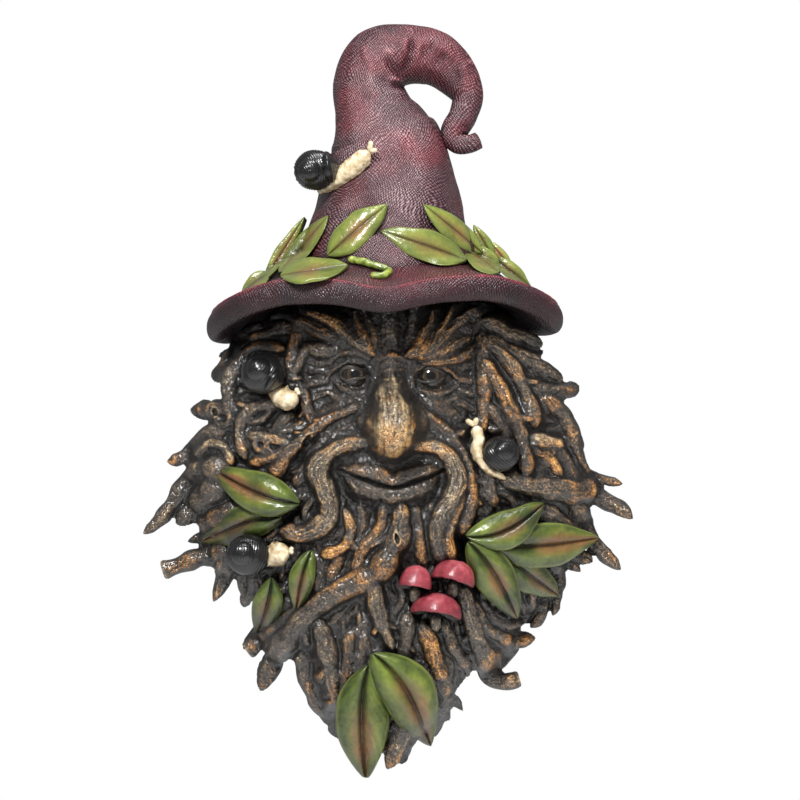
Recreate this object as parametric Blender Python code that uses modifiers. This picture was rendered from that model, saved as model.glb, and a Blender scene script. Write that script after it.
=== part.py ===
"""A hanging tree face plaque, cast in one piece: a face of roots under a pointed hat with a curled tip.

The frame is the wall's: +Z up, +Y into the wall, and the flat back lies on Y = 0.
Places on the figure are written as (x, z) in millimetres of a figure 375 mm high, seen from the front,
and depths are measured forward from the wall. UNIT turns them into metres at FIGURE_HEIGHT.
"""

import math
import random

import bmesh
import bpy
from mathutils import Matrix, Vector

# Driving sizes, in metres
FIGURE_HEIGHT = 0.375
RECESS_DIAMETER = 0.012
RECESS_DEPTH = 0.010
RECESS_ABOVE_MOUNT = 0.024

# The figure's own proportions, in millimetres of the 375 mm figure
LAYOUT_HEIGHT = 375.0
UNIT = FIGURE_HEIGHT / LAYOUT_HEIGHT
WIDEST_Z = -70.0
BOTTOM_Z = -222.0
TOP_OF_CORE_Z = 18.0
BEARD_LEAN = -5.0
CORE_HALF_WIDTH = 98.0
CROWN_DEPTH = 62.0
CHIN_DEPTH = 40.0
RIM_DEPTH = 14.0
CORE_INSET = 7.0
CORE_WIDTH_SHARE = 0.9
FACE_MIDDLE = (0.0, -32.0)
FACE_HALF = (43.0, 54.0)

# The thinner roots that fill the gaps
FILLER_COUNT = 120
FILLER_SEED = 11
FILLER_SINK = -3.5

# How fine the casting is
VOXEL = 1.5
TRIANGLE_BUDGET = 9500
PATH_STEP = 3.0
TUBE_SIDES = 12

RESIN_COLOUR = (0.085, 0.06, 0.045, 1.0)
RESIN_ROUGHNESS = 0.45

# Roots that bend one way or sway: start, end, bow to the left of travel, sway, radii, lift off the dome
ROOTS = {
    "brim_lock_left": ((-65, 1), (-90, -25), -3, -2.5, (3.5, 4.2), 2),
    "stub_behind_left": ((-76, -11), (-87, -13), 0, 0, (3.2, 3.4), -5),
    "arch_over_snail": ((-78, -21), (-54, -10), 7, 0, (2.6, 2.8), 2),
    "temple_ridge_left": ((-75, -14), (-81, -42), -2, 0, (3.8, 3.6), 2),
    "stump_left": ((-76, -39), (-101, -40), 1, 0, (4.0, 4.8), 0),
    "elbow_left": ((-54, -36), (-73, -64), -12, 0, (3.0, 3.2), 2),
    "finger_left": ((-84, -50), (-113, -66), 0.5, -2, (5.2, 3.4), 0),
    "hook_left": ((-97, -63), (-80, -67), 7.5, 0, (2.4, 2.8), 5),
    "curl_left": ((-71, -53), (-70, -66), 18, 0, (2.8, 3.4), 2),
    "cheek_left": ((-16, -38), (-60, -74), -5, 0, (2.4, 3.8), 3),
    "cheek_left_inner": ((-21, -45), (-48, -78), -3, 0, (2.2, 3.2), 0),
    "claw_left": ((-80, -69), (-125, -102), -6.5, -3.5, (7.0, 2.2), 2),
    "claw_lobe_left": ((-82, -75), (-108, -97), -1, 0, (8.0, 5.0), 1),
    "under_claw_left": ((-76, -88), (-94, -97), 0, 0, (5.5, 5.0), 0),
    "spur_left": ((-82, -101), (-103, -106), 0, 0, (5.0, 2.0), 0),
    "split_stub_left": ((-83, -110), (-114, -120), 0, 0, (6.4, 4.0), 2),
    "fang_left": ((-82, -112), (-90, -136), 0.5, 0, (6.4, 2.2), 1),
    "tip_left_mid": ((-66, -117), (-74.5, -138), 0, 0, (4.5, 2.4), -1),
    "under_snail_left": ((-75, -118), (-73, -135), 0, 0, (3.8, 2.8), 0),
    "under_snail_right": ((-65, -120), (-65, -136), 0, 0, (3.8, 3.2), 0),
    "beard_trunk": ((4, -87), (-11, -125), 4.5, 0, (4.6, 6.2), 7),
    "beard_long_branch": ((-8, -121), (-66, -180), -10, 0, (5.6, 5.6), 6),
    "beard_short_branch": ((-11, -122), (0, -158), -1, 0, (5.8, 2.0), 6),
    "beard_strand_left": ((-4, -86), (-17, -123), -1, 2, (3.0, 3.8), 3),
    "beard_strand_far_left": ((-16, -86), (-16, -106), 1, 0, (2.5, 2.6), 0),
    "orange_curl": ((-24, -89), (-35, -111), 9.5, 0, (2.2, 3.2), 4),
    "beard_lump_left": ((-27, -109), (-29, -133), 0, 0, (4.2, 4.6), 1),
    "beard_lump_far_left": ((-38, -112), (-35, -136), 0, 0, (3.6, 3.6), 1),
    "side_root_left": ((-43, -137), (-72, -160), 0, 0, (4.6, 4.0), 2),
    "side_root_lower": ((-52, -158), (-68, -172), 0, 0, (4.0, 3.6), -4),
    "side_nub_left": ((-62, -146), (-75, -160), 0, 0, (3.0, 2.4), -2),
    "tapered_left": ((-37, -145), (-27, -187), 1, 1, (5.6, 2.8), 5),
    "outer_low_left": ((-46, -160), (-29, -199), -2, 0, (4.4, 4.0), 1),
    "nub_low_left": ((-32, -197), (-27, -205), 0, 0, (3.0, 2.2), -4),
    "inner_low_left": ((-21, -150), (-25, -187), 0, 0, (4.2, 3.8), 1),
    "inner_low_mid": ((-14, -142), (-17, -172), 1, 0, (4.2, 3.4), -1),
    "behind_leaf_low": ((-24, -180), (-18, -207), 0, 0, (5.0, 4.0), 0),
    "beard_strand_right": ((11, -87), (16, -118), -1, 0, (2.7, 3.2), 2),
    "beard_strand_far_right": ((19, -86), (20, -116), 1, 0, (2.5, 2.8), 1),
    "moustache_strand": ((34, -72), (29, -114), -2, 2, (3.2, 3.4), 5),
    "cheek_right": ((10, -38), (34, -101), 15, 0, (2.6, 3.4), 3),
    "under_snail_cheek": ((47, -69), (50, -88), 0, 0, (3.2, 3.2), 1),
    "below_mushroom_left": ((8, -140), (4, -163), 0, 0, (3.6, 3.8), 3),
    "below_mushroom_mid": ((15, -145), (25, -173), -1.5, 0, (3.9, 4.2), 4),
    "below_mushroom_right": ((24, -143), (37, -167), -1, 0, (3.3, 3.6), 2),
    "beard_right_root": ((32, -126), (47, -167), 0, 1, (4.2, 5.2), 5),
    "foot_right": ((45, -162), (62, -175), -6, 0, (5.2, 4.2), 4),
    "rimmed_root": ((38, -134), (71, -154), -9, 0, (3.4, 4.4), 3),
    "rimmed_root_upper": ((42, -137), (65, -146), -4, 0, (3.0, 3.0), 0),
    "plate_right": ((62, -153), (51, -166), 0, 0, (4.5, 4.5), -6),
    "low_right": ((24, -160), (26, -186), 0, 0, (5.5, 4.4), -2),
    "low_right_outer": ((14, -178), (28, -195), 0, 0, (4.6, 3.2), -2),
    "low_right_tip": ((26, -180), (35, -191), 0, 0, (3.6, 1.6), -3),
    "low_right_tip_inner": ((26, -178), (21, -204), 0, 0, (4.0, 2.4), -3),
    "bottom_root": ((9, -180), (-3, -218), 2, 0, (6.0, 4.2), 2),
    "bottom_root_side": ((13, -186), (4, -215), 1, 0, (4.6, 3.0), 0),
    "plank_under_brim": ((44, 4), (74, -8), 0, 0, (3.6, 3.6), 3),
    "temple_right_upper": ((44, -5), (84, -26), 1, 0, (4.2, 3.6), 1),
    "knob_right": ((68, -27), (90.5, -29), -3, 0, (4.2, 3.6), 2),
    "temple_right": ((48, -8), (70, -48), 4.5, 0, (3.2, 4.2), 4),
    "temple_right_inner": ((45, -16), (66, -72), 4.5, 0, (3.0, 4.6), 5),
    "temple_right_short": ((47, -37), (57, -56), 1, 0, (3.4, 3.0), 1),
    "long_right": ((73, -33), (115, -77), -5, 5, (4.8, 2.0), 2),
    "long_right_body": ((74, -32), (92, -64), 3, 0, (5.5, 5.0), 0),
    "knuckle_right": ((67, -55), (84, -58), 1.5, 0, (3.4, 2.8), 4),
    "knuckle_right_lower": ((72, -58), (82, -75), 1, 0, (3.4, 3.4), 1),
    "knuckle_right_outer": ((80, -58), (90, -76), 1, 0, (3.6, 3.6), 0),
    "hand_right": ((55, -74), (99, -81), -1, 0, (5.4, 6.2), 4),
    "hand_finger_upper": ((95, -80), (120, -94.5), 1.5, 0, (6.4, 2.4), 3),
    "hand_finger_lower": ((89, -84), (114, -120), -2.5, 0, (6.6, 2.4), 2),
    "under_hand_right": ((70, -88), (92, -100), 0, 0, (5.4, 4.4), 0),
    "nub_right": ((82, -112), (100, -116), 1, 0, (4.0, 3.2), 1),
    "nub_right_lower": ((84, -113), (94, -121), 0, 0, (3.4, 2.2), 0),
    "fang_right": ((79, -115), (80, -143), 3, 0, (5.6, 2.2), 1),
    "rib_right": ((69, -129), (64, -147), 1.5, 0, (3.6, 3.2), 2),
    "rib_right_outer": ((76, -130), (69, -149), 2, 0, (3.4, 3.2), 1),
    "temple_left": ((-47, 6), (-49, -24), 0, 1, (4.4, 3.6), -1),
    "temple_left_upper": ((-50, 2), (-70, -6), 0, 0, (3.4, 3.2), 0),
    "temple_left_lower": ((-46, -28), (-38, -48), 0, 0, (3.6, 3.0), -1),
    "temple_right_edge": ((44, -2), (46, -36), 0, 0, (3.6, 3.6), 1),
    "crow_foot_right": ((46, -32), (43, -52), 0, 0, (3.4, 3.0), 0),
}

# The two moustache roots turn too often for a bow and a sway: their routes, radii and lift
MOUSTACHES = {
    "moustache_left": (
        [(-14, -57), (-28, -59), (-36, -68), (-35, -77), (-31, -87), (-34, -96), (-44, -101), (-55, -99)],
        (2.6, 4.6),
        8,
    ),
    "moustache_right": (
        [(11, -59), (24, -60), (32, -69), (31, -80), (25, -91), (22, -101), (24, -115)],
        (2.6, 4.4),
        8,
    ),
}

# Rings of wood round a knot hole: centre, ring radius, wood radius
KNOTS = [((-84, -44), 3.4, 1.8), ((-65, -57), 3.0, 1.8), ((74, -59), 3.0, 1.6)]

# Features of the face, each a tapered lump: start, end, bow, radii at start, middle and end, depths at both ends
FACE_LUMPS = {
    "brow_left_upper": ((-8, -13), (-40, 9), 2, (3.0, 5.5, 3.0), (72, 62)),
    "brow_left_middle": ((-11, -11), (-42, 0), 2, (3.0, 6.0, 3.0), (70, 60)),
    "brow_left_lower": ((-20, -9), (-42, -10), 2, (2.0, 4.5, 3.0), (67, 57)),
    "brow_left_flame": ((-8, -12), (-18, 9), -2, (3.0, 4.5, 2.5), (71, 67)),
    "brow_right_upper": ((5, -15), (38, 9), -2, (3.0, 5.5, 3.0), (72, 62)),
    "brow_right_middle": ((8, -14), (41, -3), -2, (3.0, 6.0, 3.0), (70, 60)),
    "brow_right_lower": ((17, -13), (41, -13), -2, (2.0, 4.5, 3.0), (67, 57)),
    "brow_right_flame": ((5, -12), (15, 9), 2, (3.0, 4.5, 2.5), (71, 67)),
    "forehead": ((-1, -10), (-1, 12), 0, (4.0, 6.0, 4.0), (66, 66)),
    "lid_upper_left": ((-29, -24), (-10, -26), 7, (1.0, 2.0, 1.4), (60, 63)),
    "lid_lower_left": ((-29, -24), (-10, -26), -4, (1.0, 1.6, 1.4), (60, 62)),
    "lid_upper_right": ((10, -26), (29, -26), 7, (1.4, 2.0, 1.0), (63, 60)),
    "lid_lower_right": ((10, -26), (29, -26), -4, (1.4, 1.6, 1.0), (62, 60)),
    "eye_bag_left": ((-30, -29), (-10, -31), -4, (1.5, 3.0, 1.5), (56, 60)),
    "eye_bag_right": ((10, -31), (31, -31), -4, (1.5, 3.0, 1.5), (60, 56)),
    "nostril_left": ((-12, -52), (-14, -42), -1, (3.0, 5.0, 2.5), (70, 67)),
    "nostril_right": ((11, -53), (14, -43), 1, (3.0, 5.0, 2.5), (70, 67)),
    "upper_lip_left": ((-26, -69), (0, -73), 1, (1.2, 4.0, 4.0), (64, 73)),
    "upper_lip_right": ((25, -69), (0, -73), -1, (1.2, 4.0, 4.0), (64, 73)),
    "lower_lip": ((-21, -74), (21, -74), -6.5, (1.5, 4.8, 1.5), (65, 65)),
    "cheek_pad_left": ((-20, -47), (-30, -54), 0, (5.0, 7.0, 5.0), (60, 57)),
    "cheek_pad_right": ((17, -47), (27, -55), 0, (5.0, 7.0, 5.0), (60, 57)),
}
EYES = [(-19.2, -22.8), (19.2, -23.2)]
EYE_RADIUS = 8.0
EYE_DEPTH = 55.0
MOUTH_BULGE = 7.0

# The nose: down the bridge to the bulb, as (z, depth, radius)
NOSE_LINE = [
    (-9, 62, 4.5),
    (-18, 67, 4.2),
    (-28, 75, 5.5),
    (-40, 82, 8.5),
    (-50, 87, 10.8),
    (-57, 87, 10.0),
    (-62, 85, 6.5),
    (-64, 84, 2.5),
]

# The hat: the middle of its cone from the head to the curled tip, as (x, z, depth, radius)
HAT_LINE = [
    (-2, 22, 36, 44),
    (-2, 30, 36, 45.5),
    (-3, 38, 34, 43),
    (-2, 60, 31, 37.5),
    (-3, 88, 29, 31.0),
    (-5.5, 98, 28, 26.3),
    (-9.5, 110, 26, 20.0),
    (-11.5, 122, 24, 17.8),
    (-6.5, 134, 23, 17.6),
    (7, 138, 23, 15.2),
    (21, 136, 24, 13.8),
    (31, 128, 26, 11.6),
    (37.2, 117, 28, 8.4),
    (35.2, 107, 30, 7.4),
    (30.5, 98.5, 32, 7.2),
    (32.5, 93, 34, 5.8),
    (38, 92.5, 36, 4.8),
    (43.2, 94.6, 37, 4.4),
]
BRIM_CENTRE = (-4.0, 36.0)
BRIM_HALF_WIDTH = 88.5
BRIM_FORWARD = 68.0
BRIM_ROOT_Z = 27.0
BRIM_EDGE_Z = 25.0
BRIM_TILT = 2.0

# The brim's section: share of the way out to the edge, and height above the edge line
BRIM_SECTION = [
    (0.40, 2.0),
    (0.72, 1.5),
    (0.90, 1.0),
    (0.97, -0.5),
    (1.0, -4.0),
    (0.995, -9.0),
    (0.96, -12.5),
    (0.90, -12.0),
    (0.78, -9.5),
    (0.40, -9.0),
]

# Leaves lying on the roots: base, tip, width, lift off the dome
ROOT_LEAVES = [
    ((-46, -86), (-90, -69), 21, 8),
    ((-55, -93), (-96, -106), 18, 5),
    ((-60, -123), (-68, -153), 15, 5),
    ((-40, -109), (-48, -140), 12.5, 6),
    ((-12, -166), (-13.5, -224), 28, 6),
    ((-10, -160), (19, -208), 28, 9),
    ((36, -102), (75, -86), 19, 9),
    ((48, -106), (103, -104), 23, 8),
    ((57, -114), (83, -133), 17, 6),
    ((37, -105), (62, -144), 21, 9),
]

# Leaves round the foot of the crown: base, tip, width
HAT_LEAVES = [
    ((-30, 38), (-3, 61), 16.5),
    ((-56, 28), (-32, 56), 11),
    ((-64, 24), (-44, 56), 7),
    ((-54, 26), (-22, 29), 13),
    ((-61, 28), (-75, 18), 9),
    ((33, 35), (-6, 47), 15),
    ((42, 38), (16, 61), 11.5),
    ((49, 35), (40, 52), 7),
    ((58, 31), (48, 44), 6),
    ((43, 38), (54, 27), 12),
    ((52, 34), (68, 22), 9),
]
TENDRIL = [(-22, 34), (-14, 32.5), (-6, 30), (-2, 28), (-5, 25.5), (-11, 26)]
TENDRIL_RADIUS = 1.5
LEAF_THICKNESS = 5.0
LEAF_CUP = 2.5

# Mushroom caps: middle of the cap's foot, half width, height, lean in degrees
MUSHROOMS = [((11.5, -128), 8.6, 12.5, 8), ((29, -126), 11, 12.5, -14), ((21, -143), 12, 12, -6)]
CAP_FORWARD = 9.0

# Snails: shell centre, shell radius, body from tail to head, depth of the shell's middle, half thickness
SNAILS = [
    ((-37, 79), 10.0, [(-37, 68), (-26, 74), (-17, 82), (-11, 89)], 47, 8),
    ((-64, -22), 10.5, [(-60, -30), (-55, -33), (-50, -34), (-46, -31)], 55, 8),
    ((53, -61), 9.0, [(55, -73), (45, -67), (41, -57), (40, -47)], 61, 7),
    ((-72, -112), 10.5, [(-64, -117), (-57, -113), (-52, -111), (-48, -110)], 47, 8),
]
SNAIL_BODY_RADIUS = 3.2


def smooth_share(share):
    """0 to 1 with a soft start and end."""
    share = min(max(share, 0.0), 1.0)
    return share * share * (3.0 - 2.0 * share)


def fall(z):
    """0 down to the widest line, 1 at the beard's tip."""
    return min(max((WIDEST_Z - z) / (WIDEST_Z - BOTTOM_Z), 0.0), 1.0)


def half_width(z):
    """Half the width of the mass of roots at a height."""
    if z < WIDEST_Z:
        return max(CORE_HALF_WIDTH * (1.0 - fall(z) ** 1.6), 10.0)
    return CORE_HALF_WIDTH * (1.0 - 0.42 * ((z - WIDEST_Z) / (TOP_OF_CORE_Z - WIDEST_Z)) ** 2.2)


def middle_x(z):
    """The beard's tip hangs a little to the left."""
    return BEARD_LEAN * fall(z)


def middle_depth(z):
    return CROWN_DEPTH - (CROWN_DEPTH - CHIN_DEPTH) * fall(z) ** 1.5


def dome(x, z):
    """Depth of the surface that the roots lie on."""
    inside = max(1.0 - ((x - middle_x(z)) / half_width(z)) ** 2, 0.0)
    return RIM_DEPTH + (middle_depth(z) - RIM_DEPTH) * math.sqrt(inside)


def place(x, z, depth):
    """A point of the layout, in metres."""
    return Vector((x, -depth, z)) * UNIT


def bowed(start, end, bow, sway, share):
    """The point of a bowed and swaying line from start to end."""
    run = Vector(end) - Vector(start)
    left = Vector((-run.y, run.x)).normalized()
    offset = bow * 4.0 * share * (1.0 - share) + sway * math.sin(2.0 * math.pi * share)
    return Vector(start) + run * share + left * offset


def spline_point(points, share):
    """A point of the Catmull-Rom curve through points of any dimension."""
    position = share * (len(points) - 1)
    index = min(int(position), len(points) - 2)
    t = position - index
    p0, p1, p2, p3 = (points[min(max(index + k, 0), len(points) - 1)] for k in (-1, 0, 1, 2))
    return [
        0.5 * (2 * b + (c - a) * t + (2 * a - 5 * b + 4 * c - d) * t * t + (3 * b - a - 3 * c + d) * t**3)
        for a, b, c, d in zip(p0, p1, p2, p3)
    ]


def new_mesh_object(name, mesh):
    obj = bpy.data.objects.new(name, mesh)
    bpy.context.scene.collection.objects.link(obj)
    return obj


def object_from(name, shape):
    mesh = bpy.data.meshes.new(name)
    shape.to_mesh(mesh)
    shape.free()
    return new_mesh_object(name, mesh)


def tube(name, points, lead=0.5):
    """A round tube through (place, radius) pairs, as a closed mesh object.

    Each end is drawn in over a share of its radius.
    """
    curve = bpy.data.curves.new(name, "CURVE")
    curve.dimensions = "3D"
    curve.bevel_depth = UNIT
    curve.bevel_resolution = TUBE_SIDES // 4
    curve.use_fill_caps = True
    first, last = points[0], points[-1]
    lead_in = (first[0] + (first[0] - points[1][0]).normalized() * first[1] * lead * UNIT, first[1] * 0.6)
    lead_out = (last[0] + (last[0] - points[-2][0]).normalized() * last[1] * lead * UNIT, last[1] * 0.6)
    run = [lead_in, *points, lead_out]
    spline = curve.splines.new("POLY")
    spline.points.add(len(run) - 1)
    for point, (where, radius) in zip(spline.points, run):
        point.co = (*where, 1.0)
        point.radius = radius
    guide = bpy.data.objects.new(name, curve)
    bpy.context.scene.collection.objects.link(guide)
    graph = bpy.context.evaluated_depsgraph_get()
    mesh = bpy.data.meshes.new_from_object(guide.evaluated_get(graph))
    bpy.data.objects.remove(guide)
    shape = bmesh.new()
    shape.from_mesh(mesh)
    bmesh.ops.remove_doubles(shape, verts=shape.verts, dist=0.00001)
    bpy.data.meshes.remove(mesh)
    return object_from(name, shape)


def steps_along(length):
    return max(int(length / PATH_STEP), 4)


def root(name, start, end, bow, sway, radii, lift):
    """One root lying on the dome, its radius running from the first to the second."""
    length = (Vector(end) - Vector(start)).length + abs(bow) * 2.0
    steps = steps_along(length)
    points = []
    for step in range(steps + 1):
        share = step / steps
        spot = bowed(start, end, bow, sway, share)
        radius = radii[0] + (radii[1] - radii[0]) * share
        points.append((place(spot.x, spot.y, dome(spot.x, spot.y) + lift), radius))
    return tube(name, points)


def moustache(name, route, radii, lift):
    """A root along a hand-drawn route, thickening quickly from the nose."""
    steps = len(route) * 4
    points = []
    for step in range(steps + 1):
        share = step / steps
        x, z = spline_point(route, share)
        radius = radii[0] + (radii[1] - radii[0]) * smooth_share(share * 3.0)
        points.append((place(x, z, dome(x, z) + lift * (1.0 - 0.4 * share)), radius))
    return tube(name, points)


def face_lump(name, start, end, bow, radii, depths):
    """A lump of the face: brow, eyelid, nostril or lip."""
    steps = 10
    points = []
    for step in range(steps + 1):
        share = step / steps
        spot = bowed(start, end, bow, 0.0, share)
        (radius,) = spline_point([(r,) for r in radii], share)
        depth = depths[0] + (depths[1] - depths[0]) * share
        if name == "lower_lip":
            depth += MOUTH_BULGE * 4.0 * share * (1.0 - share)
        points.append((place(spot.x, spot.y, depth), radius))
    return tube(name, points)


def nose():
    steps = 24
    points = []
    for step in range(steps + 1):
        z, depth, radius = spline_point(NOSE_LINE, step / steps)
        points.append((place(0.0, z, depth), radius))
    return tube("nose", points)


def flow(x, z):
    """Which way the roots grow at a place: outward beside the face, downward in the beard."""
    beside = smooth_share((abs(x) - 15.0) / 55.0)
    outward = Vector((math.copysign(1.0, x), 0.012 * (z + 62.0)))
    down = Vector((x * 0.006, -1.0))
    return (outward * beside * (1.0 - fall(z)) + down * (1.05 - 0.75 * beside * (1.0 - fall(z)))).normalized()


def filler_routes():
    """Routes of the thinner roots: each starts outside the face and wanders along the flow."""
    chance = random.Random(FILLER_SEED)
    routes = []
    while len(routes) < FILLER_COUNT:
        z = chance.uniform(-190.0, 6.0)
        x = middle_x(z) + chance.uniform(-0.85, 0.85) * half_width(z)
        length = chance.uniform(18.0, 42.0)
        thickness = chance.uniform(2.4, 3.6)
        bend = chance.uniform(-1.0, 1.0)
        phase = chance.uniform(0.0, 2.0 * math.pi)
        if ((x - FACE_MIDDLE[0]) / FACE_HALF[0]) ** 2 + ((z - FACE_MIDDLE[1]) / FACE_HALF[1]) ** 2 < 1.0:
            continue
        spot = Vector((x, z))
        route = [spot.copy()]
        for step in range(int(length / 3.5)):
            along = flow(*spot)
            across = Vector((-along.y, along.x))
            heading = along + across * (0.5 * bend + 0.55 * math.sin(phase + 0.8 * step))
            spot = spot + heading.normalized() * 3.5
            if abs(spot.x - middle_x(spot.y)) > half_width(spot.y) * 0.93 or spot.y < -200.0:
                break
            route.append(spot.copy())
        if len(route) > 4:
            routes.append((route, thickness))
    return routes


def filler(index, route, thickness):
    points = []
    for step, spot in enumerate(route):
        radius = thickness * (1.0 - 0.35 * step / (len(route) - 1))
        points.append((place(spot.x, spot.y, dome(spot.x, spot.y) + FILLER_SINK), radius))
    return tube(f"filler_{index}", points)


def face_mask():
    """The soft form of the face under its carved lumps."""
    shape = bmesh.new()
    bmesh.ops.create_uvsphere(shape, u_segments=40, v_segments=28, radius=UNIT)
    size = Matrix.Diagonal((FACE_HALF[0], 42.0, FACE_HALF[1], 1.0))
    bmesh.ops.transform(shape, matrix=Matrix.Translation(place(*FACE_MIDDLE, 21.0)) @ size, verts=shape.verts)
    return object_from("face_mask", shape)


def hat_cone():
    steps = 90
    points = []
    for step in range(steps + 1):
        x, z, depth, radius = spline_point(HAT_LINE, step / steps)
        points.append((place(x, z, depth), radius))
    return tube("hat_cone", points, lead=0.12)


def tendril():
    steps = 24
    points = []
    for step in range(steps + 1):
        x, z = spline_point(TENDRIL, step / steps)
        points.append((place(x, z, hat_surface_depth(x, z) + 1.0), TENDRIL_RADIUS))
    return tube("tendril", points)


def brim_edge_z(angle):
    """Height of the brim's edge at an angle from the front: a dip in front, a crest each side, low at the ears."""
    degrees = min(abs(math.degrees(angle)), 90.0)
    dip = 5.0 * math.exp(-((degrees / 13.0) ** 2))
    drop = 17.0 * (max(degrees - 34.0, 0.0) / 56.0) ** 1.2
    return BRIM_EDGE_Z - dip - drop + BRIM_TILT * math.sin(angle)


def brim_place(angle, share):
    """A point of the brim: angle from the front, share of the way round its section."""
    out, height = spline_point([*BRIM_SECTION, BRIM_SECTION[0]], share)
    edge = smooth_share((out - 0.4) / 0.6)
    z = BRIM_ROOT_Z + (brim_edge_z(angle) - BRIM_ROOT_Z) * edge + height
    x = BRIM_CENTRE[0] + BRIM_HALF_WIDTH * out * math.sin(angle)
    depth = BRIM_CENTRE[1] + BRIM_FORWARD * out * math.cos(angle)
    return place(x, z, depth)


def brim():
    """A torus whose section and edge are drawn out into the wavy brim."""
    around, section = 72, 20
    bpy.ops.mesh.primitive_torus_add(major_segments=around, minor_segments=section, major_radius=1.0, minor_radius=0.3)
    obj = bpy.context.object
    obj.name = "brim"
    for vertex in obj.data.vertices:
        where = vertex.co.copy()
        angle = math.atan2(where.x, -where.y)
        share = math.atan2(where.z, Vector((where.x, where.y)).length - 1.0) / (2.0 * math.pi)
        vertex.co = brim_place(angle, (0.5 - share) % 1.0)
    return obj


def core():
    """The solid mass behind the face and the roots, as a sphere drawn to the dome."""
    shape = bmesh.new()
    bmesh.ops.create_uvsphere(shape, u_segments=48, v_segments=36, radius=1.0)
    for vertex in shape.verts:
        across, back, up = vertex.co
        reach = TOP_OF_CORE_Z - WIDEST_Z if up > 0 else WIDEST_Z - BOTTOM_Z - 12.0
        z = WIDEST_Z + up * reach
        ring = max(math.sqrt(max(1.0 - up * up, 0.0)), 0.02)
        pinch = min(ring * 2.5, 1.0)
        x = middle_x(z) + across / ring * half_width(z) * CORE_WIDTH_SHARE * pinch
        depth = -back / ring * (middle_depth(z) - CORE_INSET) * pinch
        vertex.co = place(x, z, max(depth, -6.0))
    return object_from("core", shape)


def ball(name, centre, scale, turn=0.0):
    """An ellipsoid with its half sizes along x, depth and z, turned about the depth axis."""
    shape = bmesh.new()
    bmesh.ops.create_uvsphere(shape, u_segments=20, v_segments=12, radius=UNIT)
    size = Matrix.Diagonal((scale[0], scale[1], scale[2], 1.0))
    bmesh.ops.transform(shape, matrix=Matrix.Rotation(turn, 4, "Y") @ size, verts=shape.verts)
    bmesh.ops.translate(shape, vec=centre, verts=shape.verts)
    return object_from(name, shape)


def leaf_width_share(along):
    """A leaf's width along its length: pointed tip, narrow base."""
    return max(math.sin(math.pi * along**0.85), 0.0) ** 0.75


def leaf(name, base, tip, width, depth_at):
    """A leaf as a sphere drawn flat: pointed at both ends, with raised edges and a midrib groove."""
    shape = bmesh.new()
    bmesh.ops.create_uvsphere(shape, u_segments=16, v_segments=14, radius=1.0)
    run = Vector(tip) - Vector(base)
    left = Vector((-run.y, run.x)).normalized()
    for vertex in shape.verts:
        side, thick, along = vertex.co
        share = 0.5 + 0.5 * along
        ring = max(math.sqrt(max(1.0 - along * along, 0.0)), 0.05)
        across = side / ring
        spot = Vector(base) + run * share + left * across * 0.5 * width * leaf_width_share(share)
        cup = LEAF_CUP * across * across - 1.5 * share
        rise = -thick / ring * LEAF_THICKNESS * 0.5 * min(ring * 1.5, 1.0)
        vertex.co = place(spot.x, spot.y, depth_at(spot.x, spot.y) + cup + rise)
    return object_from(name, shape)


def root_leaf(index, base, tip, width, lift):
    """A leaf over the roots, flat enough to bridge them: its depth follows the dome between its ends."""
    ends = [dome(*base) + lift, dome(*tip) + lift]
    run = Vector(tip) - Vector(base)

    def depth_at(x, z):
        share = (Vector((x, z)) - Vector(base)).dot(run) / run.length_squared
        return ends[0] + (ends[1] - ends[0]) * share + 2.5 * math.sin(math.pi * min(max(share, 0.0), 1.0))

    return leaf(f"root_leaf_{index}", base, tip, width, depth_at)


def hat_surface_depth(x, z):
    """Depth of the front of the crown, or of the brim's top beside it."""
    line = [spline_point(HAT_LINE, step / 60) for step in range(40)]
    ring = min(line, key=lambda point: abs(point[1] - z))
    inside = 1.0 - ((x - ring[0]) / ring[3]) ** 2
    crown = ring[2] + ring[3] * math.sqrt(max(inside, 0.0))
    out = 1.0 - ((x - BRIM_CENTRE[0]) / (BRIM_HALF_WIDTH * 0.75)) ** 2
    brim_top = BRIM_CENTRE[1] + BRIM_FORWARD * 0.35 * math.sqrt(max(out, 0.0))
    return max(crown, brim_top) if inside > 0.0 else brim_top


def snail(index, shell, radius, body, depth, thickness):
    """A shell of two whorls on a tapered body with two horns."""
    made = [
        ball(f"shell_{index}", place(*shell, depth), (radius, thickness, radius * 0.92)),
        ball(f"whorl_{index}", place(*shell, depth + thickness * 0.55), (radius * 0.55, thickness * 0.7, radius * 0.5)),
    ]
    steps = 10
    points = []
    for step in range(steps + 1):
        share = step / steps
        x, z = spline_point(body, share)
        points.append((place(x, z, depth + 1.0), SNAIL_BODY_RADIUS * (0.45 + 0.75 * smooth_share(share * 1.6))))
    made.append(tube(f"snail_body_{index}", points))
    return made


def mushroom(index, foot, half, height, lean):
    """Half a dome standing out of the beard like a shelf."""
    x, z = foot
    depth = dome(x, z) + CAP_FORWARD
    shape = bmesh.new()
    bmesh.ops.create_uvsphere(shape, u_segments=20, v_segments=14, radius=1.0)
    for vertex in shape.verts:
        if vertex.co.z < 0.0:
            vertex.co.z *= 0.12
    turn = Matrix.Rotation(math.radians(-lean), 4, "Y") @ Matrix.Rotation(math.radians(12.0), 4, "X")
    size = Matrix.Diagonal((half * UNIT, half * UNIT, height * UNIT, 1.0))
    bmesh.ops.transform(shape, matrix=Matrix.Translation(place(x, z, depth)) @ turn @ size, verts=shape.verts)
    stem = tube(f"stem_{index}", [(place(x, z - 5, depth - 4), 3.6), (place(x, z + 1, depth - 1), 3.0)])
    return [object_from(f"cap_{index}", shape), stem]


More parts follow.
